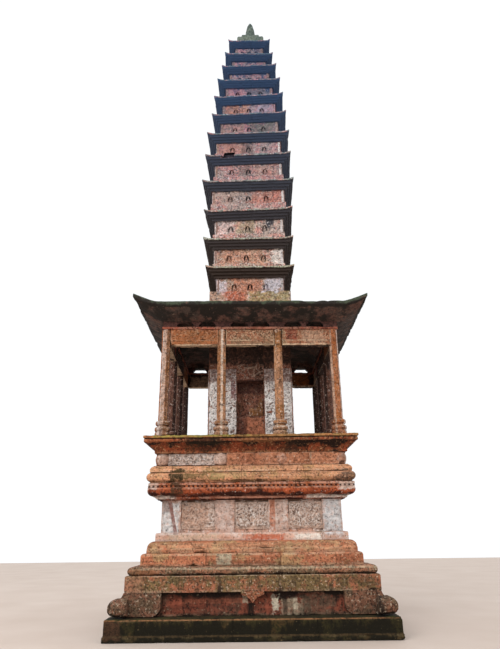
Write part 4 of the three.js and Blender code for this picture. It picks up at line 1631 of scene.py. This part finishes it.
# %% [markdown]
# The twelve columns are slim octagons on a petalled foot, a round torus and a ring. A column
# is a grid too: one way up its outline, the other way round it. The outline says how
# octagonal each height is, and how far petals swell it. The columns at the sides and the back
# stand in the shade, and their stone is given darker colours as painted shade. The gallery
# has settled to its right, so the columns there are a little shorter.

# %% Columns
AROUND = 48
PETALS = 8.0
COLUMN_MERGE = 0.0003
SETTLED = 0.0095


def column_tree():
    tree, given, result = geometry_tree("Column", [
        ("Place X", "Float", 0.0),
        ("Place Y", "Float", 0.0),
        ("Level", "Float", 0.0),
        ("Petal depth", "Float", 0.1),
        *WEAR_SIZES,
    ])
    outline = given["Geometry"]
    up_count = counted(tree, outline)
    made = add(tree, "GeometryNodeMeshGrid", (1.0, 1.0, AROUND + 1, up_count)).outputs[0]
    flat = split(tree, position(tree))
    up = rank(tree, flat[1], up_count)
    angle = times(tree, plus(tree, flat[0], 0.5), 2 * math.pi)
    edge = split(tree, sampled(tree, outline, position(tree), up, "FLOAT_VECTOR"))
    radius, facet, height = edge[0], edge[1], edge[2]
    wedge = arith(tree, "FLOORED_MODULO", plus(tree, angle, math.pi / 8), math.pi / 4)
    wedge = arith(tree, "COSINE", minus(tree, wedge, math.pi / 8))
    octagon = minus(tree, over(tree, 1.0, wedge), 1.0)
    waves = size_of(tree, arith(tree, "COSINE", times(tree, angle, PETALS / 2)))
    petal = times(tree, sampled(tree, outline, named(tree, "petal"), up), given["Petal depth"])
    swell = times(tree, minus(tree, waves, 0.6), petal)
    reach = times(tree, radius, plus(tree, times_plus(tree, octagon, facet, 1.0), swell))
    x = times_plus(tree, reach, arith(tree, "COSINE", angle), given["Place X"])
    y = times_plus(tree, reach, arith(tree, "SINE", angle), given["Place Y"])
    for label in ("arris", "stain"):
        made = keep(tree, made, label, sampled(tree, outline, named(tree, label), up))
    spot = joined(tree, x, y, plus(tree, height, given["Level"]))
    made = placed(tree, made, spot, COLUMN_MERGE)
    finish_stone(tree, made, given, result)
    return tree


COLUMN = column_tree()

column_stone = stone_material(
    "column_stone", stone="#b98765", second="#a57046", deep="#4c3020", pale="#d6c6b6", moss="#7a6a3c",
    deep_share=0.08, pale_share=0.1, moss_share=0.03, speckle=0.9, flecks=0.26, pits=0.34, shelter=0.9,
    # Narrow pale and dark upright strips: painted highlight and painted shade on the facets.
    patches=[(-1.93, 4.9, 0.14, 3.0, "#cdb8ae", 0.6, 0.6), (-1.96, 4.9, 0.06, 3.0, "#dccbc2", 0.85, 0.5),
             (-1.83, 4.9, 0.05, 3.0, "#6a432e", 0.6, 0.5),
             (-0.7, 4.9, 0.08, 3.0, "#8a5a3a", 0.6, 0.5), (-0.62, 4.9, 0.05, 3.0, "#dcc8b6", 0.8, 0.5),
             (1.9, 5.0, 0.5, 3.0, "#a5592c", 0.65, 0.3), (1.81, 5.0, 0.04, 3.0, "#d0b8a4", 0.6, 0.5)],
)
# A darker copy of the column stone, for the columns at the sides and back: painted shade.
shaded_column = stone_material(
    "shaded_column_stone", stone="#80584a", second="#6a483a", deep="#2c1e19", pale="#c0aea2",
    moss="#5a4c34", deep_share=0.16, pale_share=0.14, speckle=0.9, flecks=0.26, pits=0.36, shelter=0.85,
)

COLUMN_FOOT = [(0.155, 0.0, 0.0), (0.16, 0.04, 0.5), (0.155, 0.1, 0.2), (0.135, 0.112, 0.0)]
COLUMN_TORUS = [(0.152, 0.125, 0.0), (0.163, 0.15, 0.0), (0.163, 0.185, 0.0), (0.15, 0.21, 0.0),
                (0.114, 0.222, 0.0)]
RING = [(0.11, 0.245, 0.0), (0.14, 0.256, 0.0), (0.15, 0.28, 0.0), (0.15, 0.31, 0.0),
        (0.14, 0.333, 0.0), (0.1, 0.345, 0.0)]


def column(name, number):
    low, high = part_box(name)
    centre = (low + high) / 2
    rise = high.z - low.z - SETTLED * centre.x
    base = [corner(radius, height, petal=petal)
            for radius, height, petal in COLUMN_FOOT + COLUMN_TORUS + RING]
    corners = [corner(0.0, 0.0), *base, corner(0.095, 0.365, lift=1.0),
               corner(0.09, rise, lift=1.0, stain=0.2), corner(0.0, rise)]
    outline = worn_outline(name + "_outline", corners, rounding=0.008, step=0.045)
    stone = column_stone if "front" in name else shaded_column
    run_tree(outline, COLUMN, {
        "Place X": centre.x, "Place Y": centre.y, "Level": low.z, "Stone": stone,
        "Sway": 0.01, "Wear": 0.007, "Chips": 0.01, "Seed": 40.0 + number,
    })
    return plain_mesh(outline, name + "_stone")


for number, name in enumerate(sorted(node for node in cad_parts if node.startswith("column_"))):
    hand_over(column(name, number), "column_stone", name)

# %% [markdown]
# The gallery's beams run between the columns. Their upper two thirds carry low carving and
# the lower third is a plain band with a worn bright edge, so each beam is two slabs. A thin
# plate lies on beams and columns, and short bracket blocks stand on it. The blocks flare at
# their heads, and light shows between them, so they are separate solids.

# %% Beams, plate and blocks
COLUMN_RING = 1.885
BEAM_LOW = 5.72
PLATE_LOW = 6.098
PLATE_HIGH = 6.154
BLOCK_HIGH = 6.283
BEAM_THICK = 0.15
BEAM_WIDE = 1.075
BEAM_PITCH = 1.2585
PLAIN_BAND = 0.125
PLATE_OUT = 0.10
BLOCK_SHOULDER = 0.06
BLOCK_FLARE = 0.077
BLOCK_ENDS = 1.9
BLOCK_SPANS = [(-0.058, 0.058), (0.442, 0.778), (1.162, 1.278), (1.662, 1.97)]
GALLERY_RIGHT = 0.012
SIDES = ("front", "right", "back", "left")

beam_stone = stone_material(
    "beam_stone", stone="#a0694d", second="#8f6f54", deep="#2f1e18", pale="#d2b595", moss="#8a7448",
    second_share=0.45, pale_share=0.06, worn_arris=1.0, speckle=0.9, pits=0.3, under_dirt=1.0,
    shelter=1.0,
    patches=[(-1.2, 5.93, 1.1, 0.36, "#a05c2d", 0.65, 1.0), (0.95, 5.95, 0.26, 0.26, "#8f4030", 0.7, 0.8),
             (1.45, 5.9, 0.5, 0.3, "#c2a288", 0.5, 1.4), (0.0, 5.735, 3.6, 0.03, "#dcbf9e", 0.7, 0.5)],
)
red_lip = stone_material(
    "red_lip_stone", stone="#96503c", second="#7d4634", deep="#38211b", pale="#b98d76", moss="#6d5a3c",
    deep_share=0.12, moss_share=0.0,
)
# A dark stone for the bracket blocks under the roof: painted shade.
shaded_block = stone_material(
    "shaded_block_stone", stone="#5e3d36", second="#4a302a", deep="#211715", pale="#7d5f54",
    moss="#3d3426", deep_share=0.25, pale_share=0.03, moss_share=0.0,
)


def settled(piece, right=GALLERY_RIGHT):
    """Tips a gallery piece the way the real one has settled: down a little to the right."""
    piece.data.transform(Matrix(((1, 0, 0, right), (0, 1, 0, 0), (-SETTLED, 0, 1, 0), (0, 0, 0, 1))))
    return piece


def beams():
    sizes = {"width": BEAM_WIDE, "count": 3, "first": -BEAM_PITCH, "pitch": BEAM_PITCH, "sway": 0.012}
    face = COLUMN_RING + BEAM_THICK / 2
    plain = carved_slabs(
        "beam_bands", beam_stone, height=PLAIN_BAND, thick=BEAM_THICK, out=face, level=BEAM_LOW,
        relief=0.0, grain=0.025, chips=0.03, seed=51.0, **sizes)
    carved = carved_slabs(
        "beam_carvings", beam_stone, height=PLATE_LOW - BEAM_LOW - PLAIN_BAND + LAP,
        thick=BEAM_THICK - 0.01, out=face - 0.005, level=BEAM_LOW + PLAIN_BAND, relief=0.017, motif=0.07,
        border=0.02, grain=0.016, seed=52.0, **sizes)
    return plain, carved


def plate():
    inner, outer = COLUMN_RING - PLATE_OUT, COLUMN_RING + PLATE_OUT
    corners = [corner(inner, PLATE_LOW), corner(outer, PLATE_LOW), corner(outer, PLATE_HIGH),
               corner(inner, PLATE_HIGH), corner(inner, PLATE_LOW)]
    stations = plan(outer, (-0.7, 0.68), seed=24)
    return course(
        "plate_stone", corners, stations, red_lip, rounding=0.008, seed=51.0)


def prisms(name, outlines, near, far):
    """Several closed solids in one piece, all between the same two depths."""
    whole = prism(name, outlines[0], near, far)
    for outline in outlines[1:]:
        whole = combine(whole, prism(name + "_next", outline, near, far), "UNION")
    return whole


def bracket_blocks():
    low, high = PLATE_HIGH - LAP, BLOCK_HIGH + LAP
    shoulder = PLATE_HIGH + BLOCK_SHOULDER
    spans = BLOCK_SPANS + [(-end, -start) for start, end in BLOCK_SPANS[1:]]
    outlines = []
    for start, end in spans:
        left = 0.0 if start < -BLOCK_ENDS else BLOCK_FLARE
        right = 0.0 if end > BLOCK_ENDS else BLOCK_FLARE
        outlines.append([(start, low), (end, low), (end, shoulder), (end + right, high),
                         (start - left, high), (start, shoulder)])
    blocks = prisms("blocks", outlines, 0.0, BEAM_THICK)
    return rowed(blocks, "bracket_blocks", shaded_block, count=1, out=COLUMN_RING + BEAM_THICK / 2,
                 sway=0.01, wear=0.01, seed=53.0)


plain_band, carved_band = beams()
hand_over(settled(plain_band), "beam_stone", *["architrave_" + side for side in SIDES])
hand_over(settled(carved_band), "beam_stone")
hand_over(settled(plate()), "beam_stone")
hand_over(settled(bracket_blocks()), "beam_stone")

# %% [markdown]
# The gallery roof is a ring of thin slabs that slopes down from the wall. Its corners turn up
# steeply at the very tips. Its underside is dark maroon in the shade, and a line of moss has
# grown along the top of its edge.

# %% Gallery roof
ROOF_EDGE = 2.5
ROOF_EDGE_LOW = 6.489
ROOF_EDGE_TOP = 6.572
ROOF_HEAD_TOP = 6.95
ROOF_UPTURN = 0.15
ROOF_TIP_REACH = 0.08
ROOF_OVERHANG_START = 1.955
ROOF_RIGHT = 0.022
WALL_INSIDE = 0.96
ROOF_PARTS = (1.0, 0.85, 0.7, 0.5, 0.25, 0.0)
SOFFIT = [(WALL_INSIDE, 6.42), (1.70, 6.355), (1.76, BLOCK_HIGH), (ROOF_OVERHANG_START, BLOCK_HIGH),
          (2.08, 6.305), (2.26, 6.375), (2.40, 6.445)]

roof_stone = stone_material(
    "roof_stone", stone="#62473e", second="#4b3f39", deep="#28231f", pale="#94806f", moss="#444c3c",
    deep_share=0.22, pale_share=0.02, worn_arris=0.1, under_dirt=0.2, pits=0.25, flecks=0.14,
)


def roof_corner(half, height, **marks):
    """A corner of the roof's outline, which rises at the roof's corners past the architrave."""
    past = max(0.0, half - ROOF_OVERHANG_START) / (ROOF_EDGE - ROOF_OVERHANG_START)
    return corner(half, height, lift=ROOF_UPTURN * past, **marks)


def gallery_roof():
    top = []
    for part in ROOF_PARTS:
        half = WALL_INSIDE + (ROOF_EDGE - WALL_INSIDE) * part
        top.append((half, ROOF_HEAD_TOP + (ROOF_EDGE_TOP - ROOF_HEAD_TOP) * part ** 0.8))
    corners = [roof_corner(*point, stain=0.1) for point in SOFFIT]
    corners.append(roof_corner(ROOF_EDGE, ROOF_EDGE_LOW, stain=0.8, moss=0.3))
    corners.append(roof_corner(*top[0], stain=0.4, moss=0.6))
    corners += [roof_corner(*point, stain=0.15, moss=0.25) for point in top[1:]]
    corners.append(corners[0])
    stations = plan(ROOF_EDGE, (-1.18, 0.02, 0.86), seed=25, pitch=0.065)
    return course(
        "gallery_roof_stone", corners, stations, roof_stone, rounding=0.012, step=0.07, sway=0.03,
        wear=0.012, chips=0.03, reach=ROOF_TIP_REACH / ROOF_UPTURN, upturn_start=0.8, seed=54.0)


hand_over(settled(gallery_roof(), ROOF_RIGHT), "roof_stone", *["gallery_roof_" + side for side in SIDES])

# %% [markdown]
# The first storey is a plain square core with a niche on each side, cut by a row of solids.
# Beside each niche stands a broad strip of dense carving, limewashed and pitted black, and
# over it a carved slab on a worn ledge. Inside the niche a low altar carries what is left of
# a backdrop, broken down to a few orange steps at its right.

# %% First storey
NICHE_HALF = 0.313
NICHE_TOP = 5.163
NICHE_DEPTH = 0.30
ALTAR_TOP = 4.33
ALTAR_SETBACK = 0.07
STRIP_WIDE = 0.63
STRIP_TOP = 5.45
CORE_HALF, CORE_LOW, CORE_TOP = extent("first_storey_core")
BACKDROP = [(-0.03, 4.31), (0.30, 4.31), (0.285, 4.71), (0.256, 4.80), (0.22, 4.75), (0.17, 4.58),
            (0.10, 4.52), (0.01, 4.56), (-0.03, 4.545)]
LEDGE = [(-0.06, 0.0), (0.2, 0.0), (0.21, 0.05), (0.08, 0.07), (-0.05, 0.04)]

core_stone = stone_material(
    "core_stone", stone="#95614f", second="#75503f", deep="#2f221c", pale="#b39a88", moss="#4c4630",
    deep_share=0.16, moss_share=0.0, flecks=0.28, pits=0.38,
    # The dark patch high in each niche and the dark band along the top of the core are painted shade.
    patches=[(0.0, 5.05, 0.6, 0.26, "#4a2f2a", 0.8, 0.3), (0.0, 5.86, 2.4, 0.62, "#33251f", 0.95, 0.5),
             (0.08, 4.0, 0.46, 0.6, "#c87c5a", 0.85, 0.8), (-0.2, 4.0, 0.24, 0.6, "#6a3d30", 0.8, 0.3)],
)


def framed(half, low, high):
    """The outline of an upright rectangle about the middle of a side."""
    return [(-half, low), (half, low), (half, high), (-half, high)]


def first_storey():
    corners = closed([
        corner(CORE_HALF, CORE_LOW - LAP, stain=0.2),
        corner(CORE_HALF, CORE_LOW + 0.1),
        corner(CORE_HALF, 5.3, stain=0.05),
        corner(CORE_HALF, 5.6, stain=0.3),
        corner(CORE_HALF, CORE_TOP, stain=0.3),
    ])
    stations = plan(CORE_HALF, seed=26, pitch=0.09)
    core = course("first_storey_stone", corners, stations, core_stone, step=0.09, sway=0.01, seed=55.0)
    niche = framed(NICHE_HALF, ALTAR_TOP, NICHE_TOP)
    front = framed(NICHE_HALF, CORE_LOW - 0.1, ALTAR_TOP + 0.01)
    for outline, depth in ((niche, NICHE_DEPTH), (front, ALTAR_SETBACK)):
        cutters = rowed(prism("niche", outline, -0.1, depth), "niches", core_stone, count=1,
                        out=CORE_HALF, sway=0.0, wear=0.0, chips=0.0)
        core = combine(core, cutters, "DIFFERENCE")
    return core


def core_strips():
    place = NICHE_HALF + 0.02 + STRIP_WIDE / 2
    return carved_slabs(
        "core_strips", pitted_lime, width=STRIP_WIDE, height=STRIP_TOP - CORE_LOW, thick=0.05,
        out=CORE_HALF + 0.012, level=CORE_LOW, count=2, first=-place, pitch=2 * place, relief=0.026,
        motif=0.085, border=0.012, grain=0.021, wear=0.012, seed=56.0)


def over_niche():
    return carved_slabs(
        "niche_heads", core_stone, width=0.66, height=0.4, thick=0.05, level=NICHE_TOP + 0.03,
        out=CORE_HALF + 0.015, count=1, relief=0.07, motif=0.17, border=0.02, grain=0.02, seed=57.0)


def niche_ledge():
    return rowed(prism("ledge", LEDGE, -0.06, 0.05), "niche_ledges", core_stone, count=1, wear=0.01,
                 out=CORE_HALF, level=NICHE_TOP - 0.01)


def backdrop():
    return rowed(prism("backdrop", BACKDROP, -0.09, 0.02), "altar_backdrops", column_stone, count=1,
                 wear=0.014, out=CORE_HALF - NICHE_DEPTH)


hand_over(first_storey(), "core_stone", "first_storey_core")
for piece in (core_strips(), over_niche(), niche_ledge(), backdrop()):
    hand_over(piece, "core_stone")

# %% [markdown]
# Twelve low storeys are alike, and shrink upwards. Each has a plain band at its foot, a wall
# with three arched niches a side, three corbel steps and a thin eave. One table holds what
# differs: how wide the eave is, how high, and how settling has moved and turned the storey.
# The other sizes change evenly from the lowest storey to the highest.

# %% Storey sizes
STOREYS = [
    (1.120, 8.132, 0.025, 0.0), (1.155, 8.934, 0.012, -1.0), (1.160, 9.795, 0.055, -3.0),
    (1.218, 10.672, 0.028, -1.5), (1.170, 11.561, 0.055, -2.4), (1.142, 12.321, 0.050, -1.6),
    (1.060, 13.078, 0.098, -2.8), (1.002, 13.787, 0.090, -3.0), (0.922, 14.474, 0.080, -1.2),
    (0.823, 15.125, 0.100, -1.7), (0.731, 15.700, 0.065, 1.0), (0.648, 16.334, 0.090, 0.0),
]
EDGE_THICK = 0.045
OVERHANG = (0.264, 0.218)
CORBELS_HIGH = (0.185, 0.09)
WALL_HIGH = (0.425, 0.285)
FOOT_STEP = 0.042
FIRST_FOOT_STEP = 0.165


def storey_sizes(index):
    """The half-widths and heights of one storey's parts, and how it has settled."""
    def mix(pair):
        return pair[0] + (pair[1] - pair[0]) * index / (len(STOREYS) - 1)

    eave, edge_top, right, turned = STOREYS[index]
    wall = eave - mix(OVERHANG)
    edge_low = edge_top - EDGE_THICK
    soffit = edge_low - mix(CORBELS_HIGH)
    band_top = soffit - mix(WALL_HIGH)
    band = wall + (FOOT_STEP if index else FIRST_FOOT_STEP)
    return {"eave": eave, "edge_top": edge_top, "edge_low": edge_low, "wall": wall, "soffit": soffit,
            "band_top": band_top, "band": band, "right": right, "turned": turned}


print("the walls rise from", round(storey_sizes(0)["band_top"], 2), "m")

# %% [markdown]
# The stone is warm below and cooler, darker and less limed above, and single blocks and
# patches stand out in other tones. The blue that the deep colour and the moss take on higher
# up is painted haze of the sky's light. One material could not hold all twelve, so each
# storey has its own, mixed between a lowest and a highest stone, with its own blotches.

# %% Tower stone
COOL_STOREYS = 7
FOOT_BAND = [(-0.82, 7.34, 0.4, 0.34, "#bd9178", 0.6, 1.2), (-0.34, 7.34, 0.58, 0.34, "#bb5c3c", 0.75, 1.0),
             (0.5, 7.34, 1.1, 0.34, "#a5945f", 0.65, 1.4)]
BLOTCHES = {
    0: [(-0.85, 0.36, "#dcd0d6", 0.9), (-0.1, 1.1, "#bd7a5a", 0.55), (0.68, 0.5, "#d3ccd4", 0.9)],
    1: [(-0.2, 1.3, "#c08c68", 0.4), (0.82, 0.32, "#d3cac2", 0.9)],
    2: [(-0.65, 0.5, "#d6c4be", 0.6), (-0.1, 0.5, "#b3a082", 0.6)],
    3: [(-0.65, 0.6, "#b89e92", 0.5), (0.5, 0.9, "#a25a44", 0.55)],
    4: [(-0.1, 0.4, "#6e625f", 0.7), (0.5, 0.7, "#b58070", 0.4)],
    5: [(-0.5, 0.8, "#b98672", 0.5), (0.0, 0.35, "#6a5f5c", 0.7)],
    6: [(-0.5, 0.7, "#a08478", 0.5), (0.5, 0.9, "#5f6c68", 0.75)],
    7: [(-0.35, 0.9, "#b37c60", 0.6), (0.65, 0.6, "#8a8494", 0.7)],
    8: [(-0.5, 0.7, "#a8747c", 0.5), (0.4, 0.9, "#525868", 0.8)],
}


def tower_stone(index):
    """The stone of one storey, with patches and blotches in its own places."""
    cool = min(index / COOL_STOREYS, 1.0)

    def between(low_code, high_code):
        pairs = [(int(low_code[i:i + 2], 16), int(high_code[i:i + 2], 16)) for i in (1, 3, 5)]
        return "#" + "".join(f"{round(low + (top - low) * cool):02x}" for low, top in pairs)

    sizes = storey_sizes(index)
    middle = (sizes["band_top"] + sizes["soffit"]) / 2
    tall = sizes["soffit"] - sizes["band_top"]
    patches = list(FOOT_BAND) if index == 0 else []
    for place, wide, code, cover in BLOTCHES.get(index, ()):
        patches.append((place * sizes["wall"], middle, wide * sizes["wall"], tall, code, cover, 1.6))
    return stone_material(
        f"tower_stone_{index + 2:02d}", patches, stone=between("#c08a76", "#9f737c"),
        # The deep colour and the moss turn blue upwards: painted haze of the sky's light.
        second=between("#b09a88", "#8f7f84"), deep=between("#40342e", "#324868"),
        pale=between("#dcd4ce", "#b4aeb8"), moss=between("#a3a38c", "#4a6070"),
        pale_share=0.2 - 0.1 * cool, top_moss=0.15, speckle=1.0, pits=0.4 - 0.05 * cool,
        flecks=0.34 - 0.08 * cool, worn_arris=0.0,
    )


pilaster_lime = stone_material(
    "pilaster_lime", stone="#a07c70", second="#94776c", deep="#54443e", pale="#c0aca2", moss="#8a8a74",
    deep_share=0.1, pale_share=0.1,
    patches=[(1.0, 10.0, 1.6, 5.2, "#e2dcda", 0.9, 0.3), (0.0, 15.0, 3.0, 4.4, "#7f7078", 0.8, 0.2)],
)
# A near-black stone for the faces of the bite: painted shade inside it.
broken_stone = stone_material(
    "broken_stone", stone="#33313c", second="#2a2833", deep="#17171f", pale="#5a4a50", moss="#2f3a3c",
    deep_share=0.3, pale_share=0.02, moss_share=0.0, flecks=0.0,
)

# %% [markdown]
# A storey's wall is one square course from its foot band to the seat of the storey above. Its
# corbel steps lean further out with height. The niches are cut by a row of arched solids, and
# a small seated figure, worn past recognising, sits in each. One rough solid cuts the bite out
# of the sixth storey's eave and the foot of the wall over it, and its cut faces take a
# near-black stone, painted shade inside the bite.

# %% Tower storeys
EAVE_UPTURN = 0.045
EAVE_TIP_REACH = 0.014
EAVE_SLOPE = 0.45
CORBEL_STEPS = 3
CORBEL_LEAN = 0.7
ROOF_TOP = 7.0
FINIAL_BASE = 0.42
NICHE_WIDE = 0.13
TOWER_NICHE_DEPTH = 0.085
FIRST_NICHE_PITCH = 0.405
NICHE_SHIFTS = {1: -0.06, 2: -0.03}
FIGURE = [(0.050, 0.0), (0.056, 0.02), (0.050, 0.045), (0.034, 0.055), (0.036, 0.085),
          (0.020, 0.10), (0.024, 0.12), (0.020, 0.145), (0.004, 0.15)]
FIGURE_TALL = 0.16
FIGURE_BACK = 0.045
PILASTER_WIDE = 0.055
CHIPPED_STOREY = 5
CHIP = [(-0.74, 11.49), (-0.38, 11.492), (-0.385, 11.835), (-0.68, 11.82)]
CHIP_OUT = 1.25
CHIP_IN = 0.82


def storey_wall(index, stone):
    sizes = storey_sizes(index)
    below = storey_sizes(index - 1)["edge_top"] if index else ROOF_TOP
    above = storey_sizes(index + 1)["band"] if index + 1 < len(STOREYS) else FINIAL_BASE
    seat = sizes["edge_top"] + EAVE_SLOPE * (sizes["eave"] - above)
    step_out = (sizes["eave"] - sizes["wall"]) / (CORBEL_STEPS + 1)
    step_up = (sizes["edge_low"] - sizes["soffit"]) / CORBEL_STEPS
    corners = [corner(sizes["band"], below - LAP), corner(sizes["band"], sizes["band_top"], moss=0.05),
               corner(sizes["wall"], sizes["band_top"] + 0.01),
               corner(sizes["wall"], sizes["soffit"], stain=0.3)]
    lean = CORBEL_LEAN * min(index / COOL_STOREYS, 1.0) * step_out
    # The corbel steps are darkened in full: stain and painted shade under the eave.
    for i in range(CORBEL_STEPS):
        half = sizes["wall"] + step_out * (i + 1)
        low = sizes["soffit"] + step_up * i
        corners += [corner(half, low, stain=1.0), corner(half + lean, low + step_up - 0.002, stain=1.0)]
    corners += [corner(sizes["eave"], sizes["edge_low"], lift=EAVE_UPTURN, stain=0.35, moss=0.4),
                corner(sizes["eave"], sizes["edge_top"], lift=EAVE_UPTURN, stain=0.1, moss=0.6),
                corner(above, seat, moss=0.1)]
    joints = (-0.3 * sizes["wall"], 0.15 * sizes["wall"])
    stations = plan(sizes["eave"], joints, seed=60 + index, pitch=0.07, cut=0.004)
    return course(
        f"storey_{index + 2:02d}_stone", closed(corners), stations, stone, rounding=0.01, step=0.06,
        wear=0.008, reach=EAVE_TIP_REACH / EAVE_UPTURN, upturn_start=0.8,
        seed=60.0 + index)


def niche_row(index):
    """Where the niches of a storey stand: the middle one, the pitch and the sill's height."""
    sizes = storey_sizes(index)
    pitch = 0.5 * sizes["wall"] if index else FIRST_NICHE_PITCH
    tall = min(0.2, 0.42 * (sizes["soffit"] - sizes["band_top"]))
    level = sizes["band_top"] + 0.35 * (sizes["soffit"] - sizes["band_top"] - tall)
    first = NICHE_SHIFTS.get(index, 0.0) - pitch
    return {"count": 3, "first": first, "pitch": pitch, "level": level, "out": sizes["wall"]}, tall


def arched(wide, tall):
    half = wide / 2
    top = [(half * math.cos(math.radians(a)), tall - half + half * math.sin(math.radians(a)))
           for a in range(0, 181, 30)]
    return [(-half, 0.0), (half, 0.0), *top]


def storey(index):
    sizes = storey_sizes(index)
    name = f"storey_{index + 2:02d}_"
    stone = tower_stone(index)
    row, tall = niche_row(index)
    wall = storey_wall(index, stone)
    cutter = prism("niche", arched(NICHE_WIDE, tall), -0.1, TOWER_NICHE_DEPTH)
    wall = combine(wall, rowed(cutter, "niches", stone, sway=0.0, wear=0.0, chips=0.0, **row), "DIFFERENCE")
    if index in (CHIPPED_STOREY - 1, CHIPPED_STOREY):
        # The cut faces take the near-black stone: painted shade inside the bite.
        chip = prism("chip", CHIP, -CHIP_OUT, -CHIP_IN)
        chip.data.materials.append(broken_stone)
        wall = combine(wall, chip, "DIFFERENCE")
    figure = lathed("figure", [(radius, height * tall / FIGURE_TALL) for radius, height in FIGURE], 8)
    figure.data.transform(Matrix.Translation((0.0, FIGURE_BACK, 0.0)))
    figures = rowed(figure, name + "figures", stone, sway=0.0, wear=0.01, **row)
    place = sizes["wall"] - PILASTER_WIDE / 2 - 0.012
    pilasters = carved_slabs(
        name + "pilasters", pilaster_lime, width=PILASTER_WIDE,
        height=sizes["soffit"] - sizes["band_top"], thick=0.03, out=sizes["wall"] + 0.01,
        level=sizes["band_top"], count=2, first=-place, pitch=2 * place, relief=0.0, grain=0.04)
    turned = Matrix.Rotation(math.radians(sizes["turned"]), 4, "Z")
    for piece in (wall, figures, pilasters):
        piece.data.transform(Matrix.Translation((sizes["right"], 0.0, 0.0)) @ turned)
    return wall, figures, pilasters


for index in range(len(STOREYS)):
    wall, figures, pilasters = storey(index)
    hand_over(wall, "tower_stone", f"storey_{index + 2:02d}")
    hand_over(figures, "tower_stone")
    hand_over(pilasters, "tower_stone")

# %% [markdown]
# The finial is grown over with moss and lichen. Its square base with rounded shoulders and
# the smaller ring on it are one course. The tall bud is a round solid, remeshed evenly so
# that it can be worn like the rest.

# %% Finial
FINIAL_BASE_TOP = 16.76
FINIAL_RING = 0.25
FINIAL_RING_TOP = 17.03
FINIAL_BUD = 0.17
FINIAL_VOXEL = 0.02
BUD = [(1.0, -0.03), (1.0, 0.06), (0.95, 0.22), (0.88, 0.4), (0.78, 0.56), (0.6, 0.73), (0.4, 0.87),
       (0.2, 0.96), (0.06, 0.995)]

finial_stone = stone_material(
    "finial_stone", stone="#70796e", second="#5d6962", deep="#2f3833", pale="#a3aea0", moss="#566650",
    deep_share=0.14, pale_share=0.12, moss_share=0.2, speckle=0.9,
)


def finial_base():
    low = storey_sizes(len(STOREYS) - 1)["edge_top"]
    corners = closed([
        corner(FINIAL_BASE, low),
        corner(FINIAL_BASE, FINIAL_BASE_TOP - 0.07),
        corner(FINIAL_BASE - 0.03, FINIAL_BASE_TOP + 0.02),
        corner(FINIAL_RING + 0.04, FINIAL_BASE_TOP + 0.12),
        corner(FINIAL_RING + 0.02, FINIAL_RING_TOP - 0.05),
        corner(FINIAL_RING - 0.02, FINIAL_RING_TOP + 0.01),
        corner(FINIAL_BUD + 0.01, FINIAL_RING_TOP + 0.05),
    ])
    stations = plan(FINIAL_BASE, seed=80, pitch=0.04)
    return course("finial_base", corners, stations, finial_stone, sway=0.03, wear=0.02, chips=0.04, seed=81.0)


def finial_bud():
    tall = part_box("finial")[1].z - FINIAL_RING_TOP
    rings = [(radius * FINIAL_BUD, FINIAL_RING_TOP + part * tall) for radius, part in BUD]
    return weathered(
        lathed("bud", rings, 16), "finial_bud", finial_stone, voxel=FINIAL_VOXEL, sway=0.0, wear=0.012)


finial_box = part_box("finial")
to_its_place = Matrix.Translation(((finial_box[0].x + finial_box[1].x) / 2, 0.0, 0.0))
base, bud = finial_base(), finial_bud()
base.data.transform(to_its_place)
bud.data.transform(to_its_place)
hand_over(base, "finial_stone", "finial")
hand_over(bud, "finial_stone")

# %% [markdown]
# At the end the triangles of all the pieces are added up and printed.

# %% The triangle count
print(sum(triangle_counts.values()), "triangles in", len(triangle_counts), "pieces")
